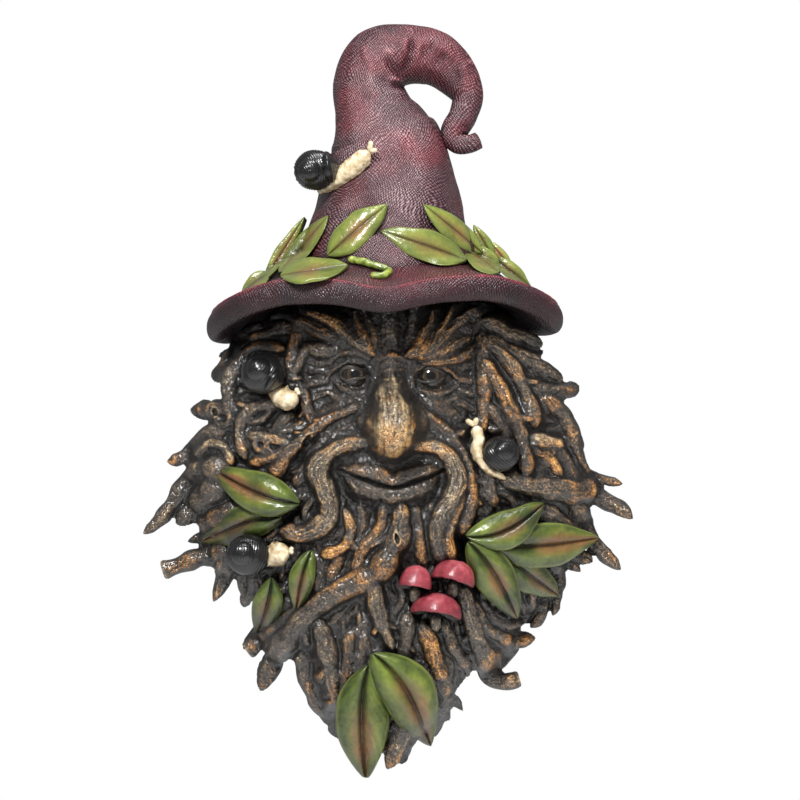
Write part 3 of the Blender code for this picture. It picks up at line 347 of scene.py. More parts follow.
# Forms of the face: route, radii and depths along it, height of its section in radii, carved lines, their
# depth, shade and warmth
FACE_FORMS = {
    "brow_mass_left": ([(-12, -5), (-24, -1), (-38, 1)], (8.0, 9.5, 8.0), (59, 56, 49), 1.2, 4, 0.5, -0.10, 0.0),
    "brow_mass_right": ([(10, -5), (22, -2), (38, 0)], (8.0, 9.5, 8.0), (59, 56, 47), 1.2, 4, 0.5, -0.10, 0.1),
    "cheek_mass_left": (
        [(-10, -44), (-22, -46), (-33, -52)],
        (6.0, 9.0, 8.0), (58, 53, 49), 1.2, 4, 0.5, -0.12, 0.0),
    "cheek_mass_right": ([(10, -44), (22, -46), (32, -52)], (6.0, 9.0, 8.0), (58, 53, 49), 1.2, 4, 0.5, -0.12, 0.0),
    "muzzle": ([(-17, -64), (0, -66), (16, -64)], (7.0, 9.0, 7.0), (58, 60, 58), 1.2, 5, 0.4, -0.14, 0.0),
    "forehead": ([(-2, -10), (-2, 2), (-3, 14)], (4.0, 6.0, 7.0), (65, 64, 63), 1.3, 3, 0.45, -0.10, 0.0),
    "forehead_left": ([(-8, -3), (-9, 6), (-8, 14)], (1.6, 2.4, 2.6), (64, 64, 63), 1.3, 2, 0.4, -0.08, 0.2),
    "forehead_right": ([(6, -8), (9, 1), (11, 12)], (1.6, 2.4, 2.8), (65, 65, 63), 1.3, 2, 0.4, -0.08, 0.0),
    "brow_left_mass": ([(-26, -5), (-35, -1), (-44, 3)], (3.0, 4.6, 3.6), (63, 59, 53), 1.3, 3, 0.6, -0.03, 0.1),
    "brow_left_swirl": (
        [(-44, -9), (-36, -10.5), (-28, -9.5)],
        (2.6, 4.6, 2.8), (53, 58, 62), 1.6, 4, 0.6, 0.02, 0.1),
    "brow_left_low": (
        [(-44, -16), (-34, -17), (-27, -12.8), (-19, -11.5), (-11.5, -14.5)],
        (1.4, 2.0, 2.0, 2.0, 1.3), (54, 57, 61, 65, 66), 1.5, 1, 0.4, 0.0, 0.1),
    "brow_left_main": (
        [(-10.5, -12.5), (-16, -8), (-22, -3), (-30, 4), (-40, 8)],
        (2.0, 2.8, 3.0, 2.8, 1.8), (68, 68, 66, 63, 57), 1.4, 2, 0.8, 0.12, 0.25),
    "brow_left_flame": (
        [(-9.5, -11.5), (-13, -6), (-17, 0), (-19.5, 8)],
        (1.8, 3.0, 2.4, 1.2), (68, 68, 66, 64), 1.4, 2, 0.8, 0.10, 0.6),
    "brow_left_inner": (
        [(-8.8, -11), (-8.8, -4), (-12.5, 4), (-15, 10)],
        (1.4, 2.2, 1.8, 1.2), (67, 67, 65, 64), 1.4, 1, 0.5, 0.0, 0.4),
    "brow_right_edge": ([(40, -11), (43.5, -3), (42, 7)], (2.2, 3.2, 2.6), (52, 52, 52), 1.3, 2, 0.5, -0.04, 0.0),
    "brow_right_low": (
        [(15, -16.5), (23, -15.5), (30, -15), (37, -12), (42, -7)],
        (1.3, 2.2, 2.8, 3.0, 2.0), (65, 63, 60, 56, 52), 1.4, 2, 0.6, 0.0, 0.5),
    "brow_right_leaf": (
        [(13, -14), (20, -11.8), (28, -9), (37, -5)],
        (1.5, 3.0, 4.0, 2.4), (67, 64, 61, 55), 1.4, 3, 0.7, 0.06, 0.2),
    "brow_right_main": (
        [(10, -14), (18, -9.5), (26, -3.5), (33, 3), (40, 9)],
        (1.6, 2.6, 3.0, 3.0, 1.8), (67, 67, 64, 60, 55), 1.4, 2, 0.8, 0.06, 0.35),
    "brow_right_flame": (
        [(9, -13.5), (16, -8), (22, -3.5), (26.5, 3), (29.5, 10)],
        (1.8, 2.8, 2.6, 2.0, 1.2), (68, 68, 66, 64, 61), 1.4, 2, 0.8, 0.08, 0.6),
    "brow_right_inner": (
        [(7.5, -13), (11.5, -8), (15, -3), (18.5, 2), (20, 9)],
        (1.8, 2.6, 2.2, 1.8, 1.2), (68, 68, 67, 65, 64), 1.4, 2, 0.7, 0.08, 0.5),
    "bridge_side_left": (
        [(-7.5, -12), (-8.5, -20), (-10, -30)],
        (2.4, 2.6, 2.4), (63, 62, 62), 1.3, 1, 0.4, -0.10, 0.0),
    "bridge_side_right": (
        [(6.5, -12), (7.5, -20), (9.5, -30)],
        (2.4, 2.6, 2.4), (63, 62, 62), 1.3, 1, 0.4, -0.10, 0.0),
    "bridge_top": (
        [(-6.4, -14.4), (-0.8, -13.2), (4.4, -14.6)],
        (1.5, 2.4, 1.5), (66, 68.5, 66), 1.4, 1, 0.5, 0.02, 0.6),
    "bridge_middle": (
        [(-6.2, -17.6), (-0.8, -16.7), (4.4, -17.8)],
        (1.2, 1.9, 1.2), (66, 69, 66), 1.4, 1, 0.4, 0.0, 0.5),
    "bridge_low": (
        [(-5.8, -20.2), (-0.8, -19.5), (4.2, -20.4)],
        (1.2, 1.8, 1.2), (66, 69.5, 66), 1.4, 1, 0.4, 0.0, 0.4),
    "cheek_left": ([(-11, -36), (-22, -38), (-34, -41)], (2.5, 4.0, 4.0), (60, 59, 55), 1.3, 3, 0.6, -0.10, 0.0),
    "cheek_right": ([(11, -36), (22, -38.5), (33, -43)], (2.5, 4.0, 4.0), (60, 59, 55), 1.3, 3, 0.6, -0.10, 0.1),
    "fold_left": ([(-15, -47), (-25, -50.5), (-35, -58)], (2.0, 3.0, 2.6), (63, 62, 58), 1.4, 2, 0.6, -0.08, 0.0),
    "fold_left_low": (
        [(-14, -52), (-22, -54.5), (-30, -60)],
        (1.6, 2.4, 2.0), (64, 63, 61), 1.4, 1, 0.5, -0.08, 0.0),
    "fold_right": ([(14, -47), (23, -51), (31, -58)], (2.0, 3.0, 2.6), (63, 62, 59), 1.4, 2, 0.6, -0.08, 0.0),
    "fold_right_low": ([(13, -52), (20, -55), (26, -60)], (1.6, 2.4, 2.0), (64, 63, 61), 1.4, 1, 0.5, -0.08, 0.0),
    "crow_left_1": (
        [(-34, -21.5), (-39, -20), (-45, -20.5)],
        (1.8, 2.6, 2.2), (55, 53, 49), 1.3, 2, 0.6, -0.08, 0.0),
    "crow_left_2": ([(-33, -26), (-39, -26.5), (-45, -28)], (1.8, 2.8, 2.4), (55, 53, 49), 1.3, 2, 0.6, -0.08, 0.0),
    "crow_left_3": ([(-34, -32), (-39, -34), (-45, -37)], (1.8, 2.8, 2.4), (55, 52, 48), 1.3, 2, 0.6, -0.08, 0.1),
    "crow_right_1": (
        [(34, -19.5), (38.5, -17.5), (44, -18)],
        (1.8, 2.6, 2.2), (55, 53, 49), 1.3, 2, 0.6, -0.06, 0.1),
    "crow_right_2": (
        [(33.5, -25), (39, -25.5), (45, -24)],
        (1.8, 2.6, 2.2), (56, 53, 49), 1.3, 2, 0.6, -0.04, 0.35),
    "crow_right_3": (
        [(34, -30.5), (39.5, -32), (45, -31.5)],
        (1.8, 2.8, 2.4), (56, 53, 49), 1.3, 2, 0.6, -0.04, 0.35),
    "crow_right_4": ([(33, -36), (38, -39), (43, -44)], (1.8, 2.8, 2.4), (57, 54, 50), 1.3, 2, 0.6, -0.04, 0.45),
    "lid_fold_left": (
        [(-33, -25), (-27.5, -18.8), (-20.5, -16.0), (-13.5, -17.6), (-10, -22)],
        (0.9, 1.4, 1.5, 1.4, 1.0), (56, 60, 62, 63, 62), 1.4, 1, 0.2, -0.12, 0.0),
    "bag_left": (
        [(-29, -27), (-24, -30.6), (-17, -31.6), (-10.5, -28)],
        (1.0, 1.8, 1.8, 1.1), (57, 60, 61, 61), 1.4, 1, 0.4, -0.12, 0.0),
    "bag_left_low": (
        [(-34, -31), (-26, -34.6), (-18, -35.4), (-10.5, -32)],
        (1.0, 1.8, 1.8, 1.0), (55, 59, 60, 61), 1.4, 1, 0.4, -0.07, 0.0),
    "lid_fold_right": (
        [(9.4, -23.5), (13, -18.6), (19.5, -16.8), (27, -19.5), (32.5, -26.5)],
        (1.0, 1.4, 1.5, 1.4, 0.9), (62, 63, 62, 60, 56), 1.4, 1, 0.2, -0.08, 0.2),
    "bag_right": (
        [(10, -29), (17, -32.2), (25, -31.8), (32, -28.5)],
        (1.1, 1.8, 1.8, 1.0), (61, 61, 60, 57), 1.4, 1, 0.4, -0.12, 0.0),
    "bag_right_low": (
        [(11, -33), (18.5, -36), (27, -35.6), (34, -32.5)],
        (1.0, 1.8, 1.8, 1.0), (61, 60, 59, 56), 1.4, 1, 0.4, -0.06, 0.1),
    "nostril_left": (
        [(-8.5, -37), (-12.6, -45.5), (-11.0, -53.0)],
        (2.6, 5.2, 4.2), (64, 66, 67), 1.4, 3, 0.5, 0.03, 0.0),
    "nostril_right": (
        [(8.3, -37), (12.2, -46), (10.6, -53.0)],
        (2.6, 5.2, 4.2), (64, 66, 67), 1.4, 3, 0.5, 0.02, 0.0),
    "nose": (
        [(-0.9, -21), (-0.8, -30), (-0.5, -41), (-0.4, -50), (-0.8, -58)],
        (4.4, 7.6, 10.6, 11.8, 6.2), (66, 73.0, 81.0, 84.5, 83.5), 1.0, 6, 0.7, 0.20, 0.05),
    "chin": ([(0, -88), (-2, -97)], (10.0, 10.0), (51, 47), 1.3, 5, 0.6, -0.12, 0.0),
    "lower_lip": (
        [(-24, -71.5), (-15, -78), (0, -81.6), (14, -78.5), (23, -72)],
        (1.2, 4.0, 4.6, 4.0, 1.2), (62, 66, 68, 66, 62), 1.1, 3, 0.5, -0.06, 0.1),
    "upper_lip_right": (
        [(25, -69.3), (17, -69.4), (8, -71.4), (0, -75.6)],
        (1.0, 3.2, 4.0, 2.6), (63, 67, 69, 70), 1.1, 3, 0.5, -0.06, 0.1),
    "upper_lip_left": (
        [(-27, -69.3), (-18, -69), (-9, -71), (0, -75.6)],
        (1.0, 3.2, 4.2, 2.6), (63, 67, 69, 70), 1.1, 3, 0.5, -0.02, 0.2),
}

NOSE_LOOKS = {"bell": 38.0, "sway": 0.12, "streaks": 0.13}
MOUSTACHE_LOOKS = {"lines": 7.0, "amount": 0.45, "lighter": 0.11, "glow": -0.1, "fade": 0.22, "streaks": 0.13}

# Where the lips meet
MOUTH_LINE = [(-27, -69.3), (-14, -74), (0, -78), (13, -74.6), (25, -69.4)]

# Creases (below 0) and ridges of the hat's cloth: ends, height, width
HAT_FOLDS = [
    ((9.5, 145), (8.2, 136), -1.9, 1.3),
    ((8.2, 136), (5.0, 127), -1.9, 2.2),
    ((6.6, 145.5), (5.6, 138), 1.0, 1.3),
    ((13.0, 143), (12.4, 134), 0.9, 1.6),
    ((16.2, 142), (14.8, 134), -0.8, 1.2),
    ((20.2, 144.5), (18.3, 138), -1.3, 1.2),
    ((24, 141), (30, 135), 0.9, 1.5),
    ((27.5, 138), (20.0, 131), -0.7, 2.0),
    ((-4, 138.5), (1, 137.0), 1.6, 1.5),
    ((-4.4, 134.5), (4, 127.5), -1.8, 2.3),
    ((-2.5, 124.6), (5.7, 124.2), 1.7, 1.2),
    ((-1, 121.6), (5.9, 120.6), -1.6, 1.1),
    ((-3, 118.6), (7, 117.5), 1.1, 1.3),
    ((-1, 115.6), (8, 114.5), -0.6, 1.3),
    ((-14.5, 143.5), (-11, 129), 1.0, 1.7),
    ((-11, 129), (-11.5, 116), 0.8, 2.0),
    ((-17, 141), (-16, 128), -0.6, 2.2),
    ((35.3, 132), (36, 119), 0.7, 1.6),
    ((32.4, 131), (31.5, 119), -0.7, 1.3),
    ((34.5, 101.5), (42, 99.5), -1.2, 0.9),
    ((14, 71), (20.5, 69.3), 0.8, 1.1),
    ((-26, 62), (-12, 54), 0.7, 3.0),
]

# Paint: position and linear colour
BARK_STOPS = [
    (0.0, (0.006, 0.005, 0.004)),
    (0.25, (0.018, 0.014, 0.011)),
    (0.45, (0.052, 0.038, 0.026)),
    (0.62, (0.13, 0.094, 0.058)),
    (0.8, (0.33, 0.25, 0.145)),
    (1.0, (0.62, 0.52, 0.33)),
]
OCHRE_STOPS = [
    (0.0, (0.008, 0.005, 0.003)),
    (0.3, (0.028, 0.017, 0.009)),
    (0.5, (0.115, 0.056, 0.018)),
    (0.68, (0.34, 0.145, 0.032)),
    (0.85, (0.58, 0.29, 0.075)),
    (1.0, (0.72, 0.52, 0.26)),
]
EYE_STOPS = [
    (0.0, (0.002, 0.002, 0.002)),
    (0.21, (0.002, 0.002, 0.002)),
    (0.25, (0.024, 0.016, 0.010)),
    (0.36, (0.042, 0.028, 0.016)),
    (0.42, (0.008, 0.006, 0.005)),
    (0.6, (0.018, 0.014, 0.010)),
    (1.0, (0.007, 0.005, 0.004)),
]
HAT_STOPS = [
    (0.0, (0.008, 0.0035, 0.005)),
    (0.35, (0.040, 0.015, 0.020)),
    (0.65, (0.125, 0.062, 0.070)),
    (1.0, (0.40, 0.30, 0.30)),
]
HAT_RED_STOPS = [
    (0.0, (0.018, 0.004, 0.006)),
    (0.35, (0.075, 0.014, 0.020)),
    (0.65, (0.18, 0.046, 0.054)),
    (1.0, (0.42, 0.23, 0.24)),
]
LEAF_STOPS = [
    (0.0, (0.010, 0.013, 0.005)),
    (0.3, (0.030, 0.045, 0.010)),
    (0.55, (0.090, 0.125, 0.018)),
    (0.8, (0.215, 0.26, 0.042)),
    (1.0, (0.36, 0.41, 0.12)),
]
SHELL_STOPS = [(0.0, (0.003, 0.003, 0.003)), (0.6, (0.007, 0.007, 0.008)), (1.0, (0.050, 0.042, 0.037))]
BODY_STOPS = [(0.0, (0.10, 0.06, 0.03)), (0.4, (0.42, 0.31, 0.17)), (1.0, (0.76, 0.66, 0.47))]
CAP_STOPS = [
    (0.0, (0.04, 0.006, 0.009)),
    (0.45, (0.23, 0.032, 0.044)),
    (0.75, (0.42, 0.105, 0.120)),
    (1.0, (0.72, 0.42, 0.42)),
]
GILL_COLOURS = ((0.008, 0.005, 0.004), (0.15, 0.10, 0.06))
RIM_RED = (0.27, 0.030, 0.050)
LEAF_EDGE = (0.27, 0.31, 0.075)
LEAF_BROWNS = ((0.035, 0.016, 0.009), (0.25, 0.105, 0.045))

# Threads of the hat's cloth: slant in degrees, scale and share of each set
THREADS = [(32.0, 290.0, 0.56), (-48.0, 262.0, 0.44)]

# Studio
SKY_LIGHT = 0.25
LENS = 250.0
SENSOR = 36.0
FRAME_WIDTH = 0.4
FRAME_PLANE_Y = -0.022


# Curves and noise


def smooth_share(share):
    share = np.clip(share, 0.0, 1.0)
    return share * share * (3.0 - 2.0 * share)


def noise(points, seed=0):
    """Smooth value noise from -1 to 1 at points (..., 3)."""
    base = np.floor(points).astype(np.int64)
    frac = points - base
    frac = frac * frac * (3.0 - 2.0 * frac)
    total = np.zeros(points.shape[:-1])
    for corner in range(8):
        step = np.array([corner & 1, corner >> 1 & 1, corner >> 2 & 1])
        cell = base + step
        key = cell[..., 0] * 73856093 ^ cell[..., 1] * 19349663 ^ cell[..., 2] * 83492791 ^ (seed + 1) * 40503
        key = (key ^ (key >> 13)) * 1274126177 & 0x7FFFFFFF
        key = (key ^ (key >> 15)) * 668265263 & 0x7FFFFFFF
        value = (key >> 7 & 0xFFFF) / 32767.5 - 1.0
        total += value * np.prod(np.where(step == 1, frac, 1.0 - frac), axis=-1)
    return total


def stack(*columns):
    return np.stack(np.broadcast_arrays(*columns), axis=-1)


def soft_max(a, b, k):
    h = np.clip(0.5 + 0.5 * (b - a) / k, 0.0, 1.0)
    return a * (1.0 - h) + b * h + k * h * (1.0 - h)


def blur(field, reach):
    """A Gaussian blur of a 2D field."""
    size = int(3 * reach)
    kernel = np.exp(-0.5 * (np.arange(-size, size + 1) / reach) ** 2)
    kernel /= kernel.sum()

    def spread(row):
        return np.convolve(np.pad(row, size, mode="edge"), kernel, "valid")

    return np.apply_along_axis(spread, 1, np.apply_along_axis(spread, 0, field))


def between(ends, share):
    return ends[0] + (ends[1] - ends[0]) * share


def bowed(start, end, bow, sway, share):
    """Points (n, 2) of a bowed and swaying line from start to end."""
    start, end = np.array(start, float), np.array(end, float)
    run = end - start
    left = np.array((-run[1], run[0])) / np.hypot(*run)
    offset = bow * 4.0 * share * (1.0 - share) + sway * np.sin(2.0 * math.pi * share)
    return start + run * share[:, None] + left * offset[:, None]


def spline(points, share):
    """Points of the Catmull-Rom curve through points of any dimension."""
    points = np.array(points, float)
    last = len(points) - 1
    position = np.clip(share, 0.0, 1.0) * last
    index = np.minimum(position.astype(int), last - 1)
    t = (position - index)[:, None]
    a, b, c, d = (points[np.clip(index + k, 0, last)] for k in (-1, 0, 1, 2))
    return 0.5 * (2 * b + (c - a) * t + (2 * a - 5 * b + 4 * c - d) * t * t + (3 * b - a - 3 * c + d) * t**3)


# The dome that the roots lie on


def fall(z):
    return np.clip((WIDEST_Z - z) / (WIDEST_Z - BOTTOM_Z), 0.0, 1.0)


def half_width(z):
    below = np.maximum(CORE_HALF_WIDTH * (1.0 - fall(z) ** 1.6), 10.0)
    above = CORE_HALF_WIDTH * (1.0 - 0.42 * np.clip((z - WIDEST_Z) / (TOP_OF_CORE_Z - WIDEST_Z), 0.0, 1.4) ** 2.2)
    return np.where(z < WIDEST_Z, below, above)


def middle_x(z):
    return BEARD_LEAN * fall(z)


def middle_depth(z):
    return CROWN_DEPTH - (CROWN_DEPTH - CHIN_DEPTH) * fall(z) ** 1.5


def dome(x, z):
    inside = np.maximum(1.0 - ((x - middle_x(z)) / half_width(z)) ** 2, 0.0)
    return RIM_DEPTH + (middle_depth(z) - RIM_DEPTH) * np.sqrt(inside)


def dome_at(place):
    return float(dome(*map(np.float64, place)))


def hat_surface(x, z):
    """Depth of the front of the crown, or of the brim's top beside it."""
    line = spline(HAT_LINE, np.linspace(0.0, 0.55, 160))
    middle, depth, radius = (np.interp(z, line[:, 1], line[:, k]) for k in (0, 2, 3))
    inside = 1.0 - ((x - middle) / radius) ** 2
    crown = depth + radius * np.sqrt(np.maximum(inside, 0.0))
    return soft_max(crown, brim_top(x, z), 3.0)


def brim_top(x, z):
    """Depth of the top of the brim, which flares up to the crown."""
    aside = (x - BRIM_CENTRE[0]) / BRIM_HALF_WIDTH
    edge = brim_edge(np.arcsin(np.clip(aside / 0.85, -1.0, 1.0)))
    heights = np.array(BRIM_SECTION[:7])
    reach = np.full(np.shape(x), 0.4)
    last = None
    for out in np.linspace(0.4, 1.0, 40):
        height = np.interp(out, heights[:, 0], heights[:, 1])
        level = BRIM_ROOT_Z + (edge - BRIM_ROOT_Z) * smooth_share((out - 0.4) / 0.6) + height
        if last is not None:
            share = np.clip((last - z) / np.maximum(last - level, 1e-6), 0.0, 1.0)
            reach = np.where(last >= z, out - 0.6 / 39 * (1.0 - share), reach)
        last = level
    return BRIM_CENTRE[1] + BRIM_FORWARD * np.sqrt(np.maximum(reach ** 2 - aside ** 2, 0.0))


# Fine meshes: each is a grid of points with a tone, a warmth and a mark for each point


class Grid:
    """A grid of points (rows, columns, 3) in layout axes x, depth, z, with paint for each point."""

    def __init__(self, points, closed, tone, warm=None, mark=None, ends=True, keep=None):
        shape = points.shape[:2]
        self.points = points
        self.closed = closed
        self.ends = ends
        self.keep = keep
        self.tone = np.broadcast_to(tone, shape)
        self.warm = np.zeros(shape) if warm is None else np.broadcast_to(warm, shape)
        self.mark = np.zeros(shape) if mark is None else np.broadcast_to(mark, shape)

    def faces(self, first):
        """Corner numbers of the quads, counted from first, and of the two end caps."""
        rows, columns = self.points.shape[:2]
        index = first + np.arange(rows * columns).reshape(rows, columns)
        across = np.roll(index, -1, axis=1) if self.closed else index[:, 1:]
        here = index if self.closed else index[:, :-1]
        quads = np.stack([here[:-1], here[1:], across[1:], across[:-1]], axis=-1).reshape(-1, 4)
        if self.keep is not None:
            quads = quads[self.keep.ravel()[quads - first].all(axis=1)]
        caps = []
        if self.closed and self.ends:
            caps = [index[0].tolist(), index[-1][::-1].tolist()]
        return quads, caps


def piece(name, grids, material):
    """One object from grids, clamped to the solid's box and kept in front of the wall."""
    points = np.concatenate([g.points.reshape(-1, 3) for g in grids])
    world = np.stack([points[:, 0], -points[:, 1], points[:, 2]], axis=1)
    world = np.clip(world, LOW, HIGH) * UNIT
    quads, caps, first = [], [], 0
    for g in grids:
        q, c = g.faces(first)
        quads.append(q)
        caps += c
        first += g.points.shape[0] * g.points.shape[1]
    quads = np.concatenate(quads)
    corners = np.concatenate([quads.ravel()] + [np.array(c) for c in caps])
    used, corners = np.unique(corners, return_inverse=True)
    sizes = np.concatenate([np.full(len(quads), 4), np.array([len(c) for c in caps], int)])
    mesh = bpy.data.meshes.new(name)
    mesh.vertices.add(len(used))
    mesh.vertices.foreach_set("co", world[used].astype(np.float32).ravel())
    mesh.loops.add(len(corners))
    mesh.loops.foreach_set("vertex_index", corners.astype(np.int32))
    mesh.polygons.add(len(sizes))
    starts = np.concatenate([[0], np.cumsum(sizes)[:-1]])
    mesh.polygons.foreach_set("loop_start", starts.astype(np.int32))
    mesh.update(calc_edges=True)
    mesh.validate()
    for key in ("tone", "warm", "mark"):
        values = np.concatenate([getattr(g, key).reshape(-1) for g in grids])[used]
        layer = mesh.attributes.new(key, "FLOAT", "POINT")
        layer.data.foreach_set("value", values.astype(np.float32))
    mesh.shade_smooth()
    obj = bpy.data.objects.new(name, mesh)
    bpy.context.scene.collection.objects.link(obj)
    shape = bmesh.new()
    shape.from_mesh(mesh)
    bmesh.ops.recalc_face_normals(shape, faces=shape.faces)
    shape.to_mesh(mesh)
    shape.free()
    mesh.materials.append(material)
    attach(obj, "root")
    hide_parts("tree_face")
    return obj


def frames(centres):
    """Along, forward and side directions of a path (n, 3)."""
    along = np.gradient(centres, axis=0)
    along /= np.maximum(np.linalg.norm(along, axis=1, keepdims=True), 1e-9)
    front = np.array((0.0, 1.0, 0.0))
    forward = front - along * (along @ front)[:, None]
    forward /= np.maximum(np.linalg.norm(forward, axis=1, keepdims=True), 1e-9)
    side = np.cross(along, forward)
    return along, forward, side


def rings(u, forward, side):
    """Outward directions at angles u round every point of a path."""
    return np.cos(u)[None, :, None] * forward[:, None, :] + np.sin(u)[None, :, None] * side[:, None, :]


def path_lengths(points):
    return np.concatenate([[0.0], np.cumsum(np.linalg.norm(np.diff(points, axis=0), axis=1))])


def angles(count):
    """Angles round a tube, closer together at the front than at the back."""
    u = np.linspace(-math.pi, math.pi, count, endpoint=False)
    return u - 0.35 * np.sin(u)


def resample(points, radii, step):
    """The path (n, 3) and its radii at an even spacing."""
    lengths = path_lengths(points)
    count = max(int(lengths[-1] / step), 6)
    at = np.linspace(0.0, lengths[-1], count + 1)
    path = np.stack([np.interp(at, lengths, points[:, k]) for k in range(3)], axis=1)
    return path, np.interp(at, lengths, radii), at


def bark(u, s, radius, seed, strength):
    """Relief of bark in millimetres at angles u and lengths s, and its height from 0 to 1 for the paint."""
    ring_x, ring_y = np.cos(u) * radius, np.sin(u) * radius
    lumps = noise(stack(ring_x * 0.24, ring_y * 0.24, s * 0.16 + seed * 3.1), seed)
    groove = 1.0 - 2.2 * np.abs(noise(stack(ring_x * 0.5, ring_y * 0.5, s * 0.075 + seed * 5.7), seed + 11))
    fine = 1.0 - 2.0 * np.abs(noise(stack(ring_x * 1.2, ring_y * 1.2, s * 0.22 + seed), seed + 23))
    relief = 0.08 * radius * lumps + strength * (0.3 * groove + 0.2 * fine)
    return relief, 0.22 + 0.12 * (groove - 0.45) + 0.12 * (fine - 0.5) + 0.08 * lumps


def root_line(points, radii, seed, step, cut=False):
    """A root's wandering middle line at an even spacing, its radius there, and the length so far."""
    path, radius, s = resample(points, radii, step)
    side = frames(path)[2]
    bell = np.sin(math.pi * np.linspace(0.0, 1.0, len(s)))[:, None]
    slow = noise(stack(s * 0.07, seed * 1.7, 0.0 * s), seed + 3)
    quick = noise(stack(s * 0.2, seed * 1.3, 0.0 * s), seed + 4)
    path = path + side * (1.3 * slow + 0.5 * quick)[:, None] * bell
    radius = radius * (1.0 + 0.20 * noise(stack(s * 0.13, seed * 2.3, 1.0 + 0.0 * s), seed + 5))
    length = s[-1]
    if cut:
        radius = radius * (1.0 + 0.14 * np.exp(-(((length - s) / (1.2 * radii[-1])) ** 2)))
    else:
        reach = max(1.3, 4.2 - radii[-1]) * radii[-1]
        radius = radius * np.clip((length - s) / reach + 0.02, 0.02, 1.0) ** 0.55
    radius = radius * np.sqrt(np.clip(s / (1.2 * radii[0]) + 0.15, 0.15, 1.0))
    return path, radius, s


def bark_root(points, radii, seed, sides, step, strength, cut=False, pale=0.0, sunk=0.0):
    """A root as a tube with bark relief and a round or sawn end, its front drawn in by a share of its radius."""
    path, radius, s = root_line(points, radii, seed, step, cut)
    along, forward, side = frames(path)
    u = angles(sides)
    relief, height = bark(u[None, :], s[:, None], radius[:, None], seed, strength)
    r = radius[:, None] * (1.0 - sunk * np.clip(np.cos(u), 0.0, 1.0)[None, :])
    r = r + relief * np.clip(radius / 2.5, 0.25, 1.0)[:, None]
    rows = path[:, None, :] + rings(u, forward, side) * r[..., None]
    # The front of each tube is painted lighter and its sides and back darker: partly dry-brushed paint, partly
    # painted light and shade
    tone = height + 0.12 * (np.cos(u)[None, :] - 0.6)
    if cut:
        # The sawn end: its rim painted lighter, its sunk middle darker as painted shade
        end_rows, end_tone = [], []
        for share, push, shade in CUT_END:
            offset = along[-1] * radius[-1] * push
            end_rows.append(path[-1] + offset + (rows[-1] - path[-1]) * share)
            end_tone.append(tone[-1] + shade)
        rows = np.concatenate([rows, np.stack(end_rows)])
        tone = np.concatenate([tone, np.stack(end_tone)])
    glow = np.clip(0.6 * noise(rows * 0.055, seed + 41), 0.0, 1.0)
    return Grid(rows, True, tone + pale, glow)


def smooth_tube(points, radii, sides, step, tone, seed=0, rough=0.12, squash=1.0):
    """A plain tube with rounded ends and a little unevenness."""
    path, radius, s = resample(points, radii, step)
    _, forward, side = frames(path)
    radius = radius * np.sqrt(np.clip((s[-1] - s) / radius[-1] + 0.03, 0.03, 1.0))
    radius = radius * np.sqrt(np.clip(s / radius[0] + 0.03, 0.03, 1.0))
    u = angles(sides)
    ring = rings(u, forward * squash, side)
    rows = path[:, None, :] + ring * radius[:, None, None]
    lumps = noise(rows * 0.5, seed) + 0.6 * noise(rows * 1.4, seed + 1)
    rows = rows + ring * (rough * lumps)[..., None]
    # The front of the tube is painted lighter than its sides, as painted light
    return Grid(rows, True, tone + 0.3 * lumps + 0.1 * np.cos(u)[None, :])


def laid(xz, lift):
    """Layout points (x, depth, z) of a line on the dome."""
    return np.stack([xz[:, 0], dome(xz[:, 0], xz[:, 1]) + lift, xz[:, 1]], axis=1)


def core_inside(x, z):
    """1 on the middle line of the mass behind the roots, 0 on its outline."""
    up = (z - WIDEST_Z) / np.where(z > WIDEST_Z, TOP_OF_CORE_Z - WIDEST_Z, WIDEST_Z - BOTTOM_Z - CORE_FOOT)
    ring = np.sqrt(np.maximum(1.0 - up * up, 0.0))
    pinch = np.minimum(ring * 2.5, 1.0)
    reach = np.maximum(half_width(z) * CORE_WIDTH_SHARE * pinch, 0.01)
    return np.where(ring > 0.02, 1.0 - ((x - middle_x(z)) / reach) ** 2, -1.0)


def root_grids():
    """The roots that reach past the mass behind them, as tubes: the relief lies over their fronts."""
    grids = []
    for seed, (name, (start, end, bow, sway, radii, lift)) in enumerate(ROOTS.items()):
        share = np.linspace(0.0, 1.0, 24)
        xz = bowed(start, end, bow, sway, share)
        if core_inside(xz[:, 0], xz[:, 1]).min() > 0.3:
            continue
        cut = name in SAWN_ROOTS
        grids.append(bark_root(laid(xz, lift), between(radii, share), seed, 20, 1.3, 0.8, cut=cut, sunk=0.25))
    return grids


def flow(x, z):
    beside = float(smooth_share((abs(x) - 15.0) / 55.0))
    down = float(fall(z))
    outward = Vector((math.copysign(1.0, x), 0.012 * (z + 62.0)))
    straight = Vector((x * 0.006, -1.0))
    return (outward * beside * (1.0 - down) + straight * (1.05 - 0.75 * beside * (1.0 - down))).normalized()


